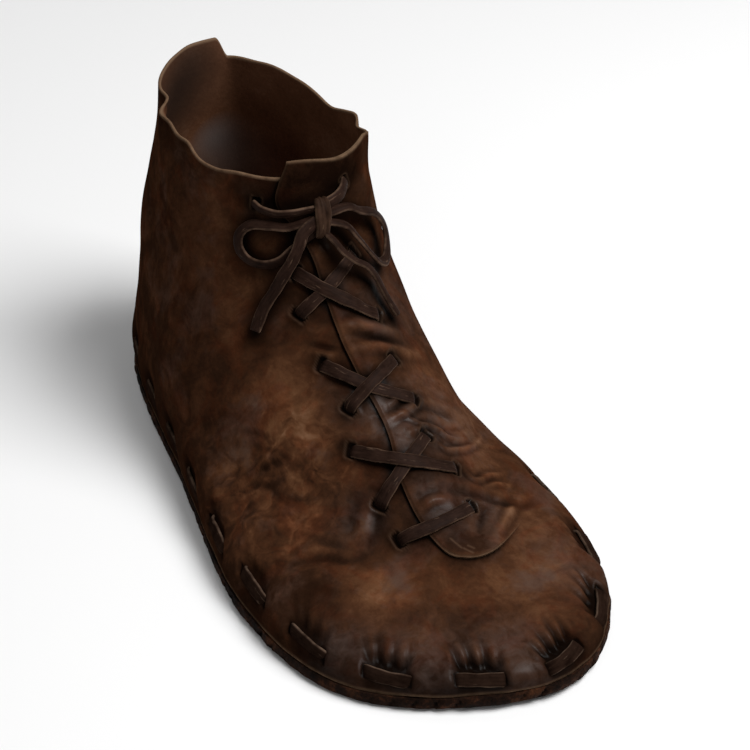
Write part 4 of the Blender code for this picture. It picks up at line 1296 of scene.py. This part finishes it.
def hide_material():
    """Waxed brown hide: mottled, paler where it is worn, dark with painted shade in the folds, with a painted
    grey sheen, fine grain and cracks.
    """
    look = Shading("waxed_hide")
    dirt = look.attribute("dirt")
    clouds = look.noise(30 * MM, 3.0, 0.6)
    blotches = look.noise(13 * MM, 5.0, 0.62, distortion=0.8)
    mottle = look.noise(5 * MM, 4.0, 0.6, distortion=0.5)
    specks = look.noise(1.6 * MM, 3.0, 0.7)
    bent = look.bend(14 * MM, 16 * MM)
    seams = look.span(look.cells(11 * MM, "DISTANCE_TO_EDGE", bent), 0.0, 0.30, 1.0, 0.0)
    strokes = look.noise(10 * MM, 2.0, 0.5, bent, distortion=1.6)
    worn = look.total(look.weigh(seams, 0.22, 0.3), look.weigh(strokes, 2.0))
    worn = look.math("MULTIPLY", worn, look.attribute("plates"))
    level = look.total(look.attribute("tone"), look.weigh(clouds, 0.9), look.weigh(blotches, 1.35),
                       look.weigh(mottle, 0.55), look.weigh(specks, 0.35), worn)
    colour = look.ramp(look.span(level, -0.9, 1.1), HIDE_RAMP)
    # A painted grey sheen on the lighter hide, and grey dust with painted sheen where listed
    painted_sheen = look.span(look.noise(20 * MM, 4.0, 0.6, look.shifted), 0.52, 0.68, 0.0, 0.6)
    painted_sheen = look.math("MULTIPLY", painted_sheen, look.span(level, -0.4, 0.5))
    dust = look.math("MULTIPLY", look.attribute("dust"), look.span(mottle, 0.35, 0.65, 0.15, 0.75))
    colour = look.mix(look.math("MAXIMUM", painted_sheen, dust), colour, DUST_AND_SHEEN_GREY)
    rust = look.span(look.noise(18 * MM, 4.0, 0.6, look.shifted, 1.2), 0.48, 0.62, 0.0, 0.6)
    colour = look.mix(rust, colour, look.mix(1.0, colour, RUST_TINT, blend="MULTIPLY"))
    # Painted shade in folds, hollows, slits and under the laces, and some dirt, darken the hide towards near
    # black
    colour = look.mix(look.math("MULTIPLY", dirt, 0.9, clamp=True), colour, SHADE_AND_GRIME)
    frayed = look.span(look.noise(3 * MM), 0.25, 0.6, 0.45, 1.0)
    colour = look.mix(look.math("MULTIPLY", look.attribute("cut"), frayed, clamp=True), colour, CUT_EDGE)
    colour = look.mix(look.math("MULTIPLY", look.attribute("lip"), 0.30), colour, LIP)
    # Inside a slit the hide is painted near black, as painted shade
    colour = look.mix(look.span(look.attribute("slit"), 0.35, -0.15), colour, SHADE_AND_GRIME)
    rough = look.total(0.52, look.weigh(blotches, 0.35), look.math("MULTIPLY", dirt, 0.15))
    grain = look.bump(look.cells(1.3 * MM, "F1"), 0.12 * MM, 0.45)
    pores = look.bump(look.noise(0.7 * MM, 2.0, 0.6), 0.10 * MM, 0.5, Normal=grain)
    wrinkles = look.bump(look.noise(11 * MM, 3.0, 0.55, distortion=1.0), 1.0 * MM, 0.4, Normal=pores)
    gloss = look.total(look.span(level, 0.0, 0.9, 0.0, 0.05), look.math("MULTIPLY", dust, 0.30))
    return look.finish(Base_Color=colour, Roughness=rough, Normal=wrinkles, Specular_IOR_Level=0.0,
                       Coat_Weight=gloss, Coat_Roughness=0.32)


def flesh_material():
    """The soft inner face of the hide, with painted sheen and painted shade inside the heel."""
    look = Shading("hide_flesh_side")
    nap = look.noise(1.6 * MM, 4.0, 0.7)
    inside = look.attribute("inside")
    colour = look.ramp(look.total(look.noise(30 * MM, 4.0, 0.6), look.weigh(nap, 0.4)), FLESH_RAMP)
    colour = look.mix(look.span(inside, 0.0, 1.0), colour, FLESH_PAINTED_SHEEN)
    colour = look.mix(look.span(inside, 0.0, -1.0), colour, FLESH_PAINTED_SHADE)
    colour = look.mix(look.math("MULTIPLY", look.attribute("cut"), 0.9, clamp=True), colour, CUT_EDGE)
    return look.finish(Base_Color=colour, Roughness=0.62, Normal=look.bump(nap, 0.25 * MM, 0.5),
                       Specular_IOR_Level=0.05)


def thong_material(style):
    """Flat cut thong: streaked along its length, scratched, with paler cut edges."""
    look = Shading(style.name)
    strip = look.attribute("strip", "Vector")
    long_way = look.add("VectorMath", "Vector", {0: strip, 1: STREAK_SQUEEZE}, operation="MULTIPLY")
    streaks = look.noise(0.9 * MM, 4.0, 0.65, long_way)
    patches = look.noise(5 * MM, 4.0, 0.6, strip)
    nicks = look.noise(1.3 * MM, 3.0, 0.7, long_way)
    level = look.total(look.weigh(streaks, 0.8), look.weigh(patches, 0.9), 0.5)
    colour = look.ramp(level, ((0.2, style.dark), (0.8, style.light)))
    scratch = look.span(nicks, 0.62, 0.71, 0.0, 0.65)
    rub = look.span(patches, 0.35, 0.65, 0.15, 1.0)
    rub = look.math("MULTIPLY", look.attribute("edge"), rub, clamp=True)
    colour = look.mix(look.math("MAXIMUM", rub, scratch), colour, style.worn)
    return look.finish(Base_Color=colour, Roughness=look.span(streaks, 0.3, 0.7, 0.42, 0.62),
                       Normal=look.bump(streaks, 0.25 * MM, 0.6), Specular_IOR_Level=style.gloss)


def sole_material():
    """Thick rough sole leather, dark with painted shade in its cuts and with dirt."""
    look = Shading("sole_leather")
    fibre = look.noise(1.2 * MM, 4.0, 0.7)
    colour = look.ramp(look.total(look.noise(9 * MM, 4.0, 0.6), look.weigh(fibre, 0.6)), SOLE_RAMP)
    colour = look.mix(look.math("MULTIPLY", look.attribute("dirt"), 0.9, clamp=True), colour, SHADE_AND_GRIME)
    return look.finish(Base_Color=colour, Roughness=0.8, Normal=look.bump(fibre, 0.5 * MM, 0.7),
                       Specular_IOR_Level=0.05)


def place_aimed(name, data, place, aim):
    """A lamp or camera at a place, looking at a point."""
    piece = bpy.data.objects.new(name, data)
    piece.location = place
    piece.rotation_euler = (Vector(aim) - Vector(place)).to_track_quat("-Z", "Y").to_euler()
    bpy.context.scene.collection.objects.link(piece)
    return piece


def make_stage():
    """A pale floor, soft studio light and the camera."""
    bpy.ops.mesh.primitive_plane_add(size=FLOOR_SIZE, location=(0.0, 0.0, 0.0))
    floor = bpy.context.object
    floor.name = "floor"
    floor.data.materials.append(Shading("pale_floor").finish(Base_Color=FLOOR_COLOUR, Roughness=0.9))
    world = bpy.data.worlds.new("studio")
    bpy.context.scene.world = world
    world.use_nodes = True
    sky = world.node_tree.nodes["Background"]
    sky.inputs["Color"].default_value = (1.0, 1.0, 1.0, 1.0)
    sky.inputs["Strength"].default_value = SKY_STRENGTH
    for lamp in LAMPS:
        light = bpy.data.lights.new(lamp.name, "AREA")
        light.size = lamp.size
        light.energy = lamp.power
        place_aimed(lamp.name, light, lamp.place, LAMP_AIM)
    camera = place_aimed("camera", bpy.data.cameras.new("camera"), CAMERA_AT, CAMERA_AIM)
    camera.data.lens = CAMERA_LENS
    bpy.context.scene.camera = camera
    bpy.context.scene.view_settings.view_transform = "Standard"


def main():
    make_stage()
    lace = thong_material(LACE_LOOK)
    make_bow(lace, thong_material(KNOT_LOOK))
    make_straps(lace)
    make_stitches(thong_material(STITCH_LOOK))
    hide = hide_material()
    flesh = flesh_material()
    make_upper(hide, flesh)
    make_front_lap(hide, flesh)
    make_sole(sole_material())


main()
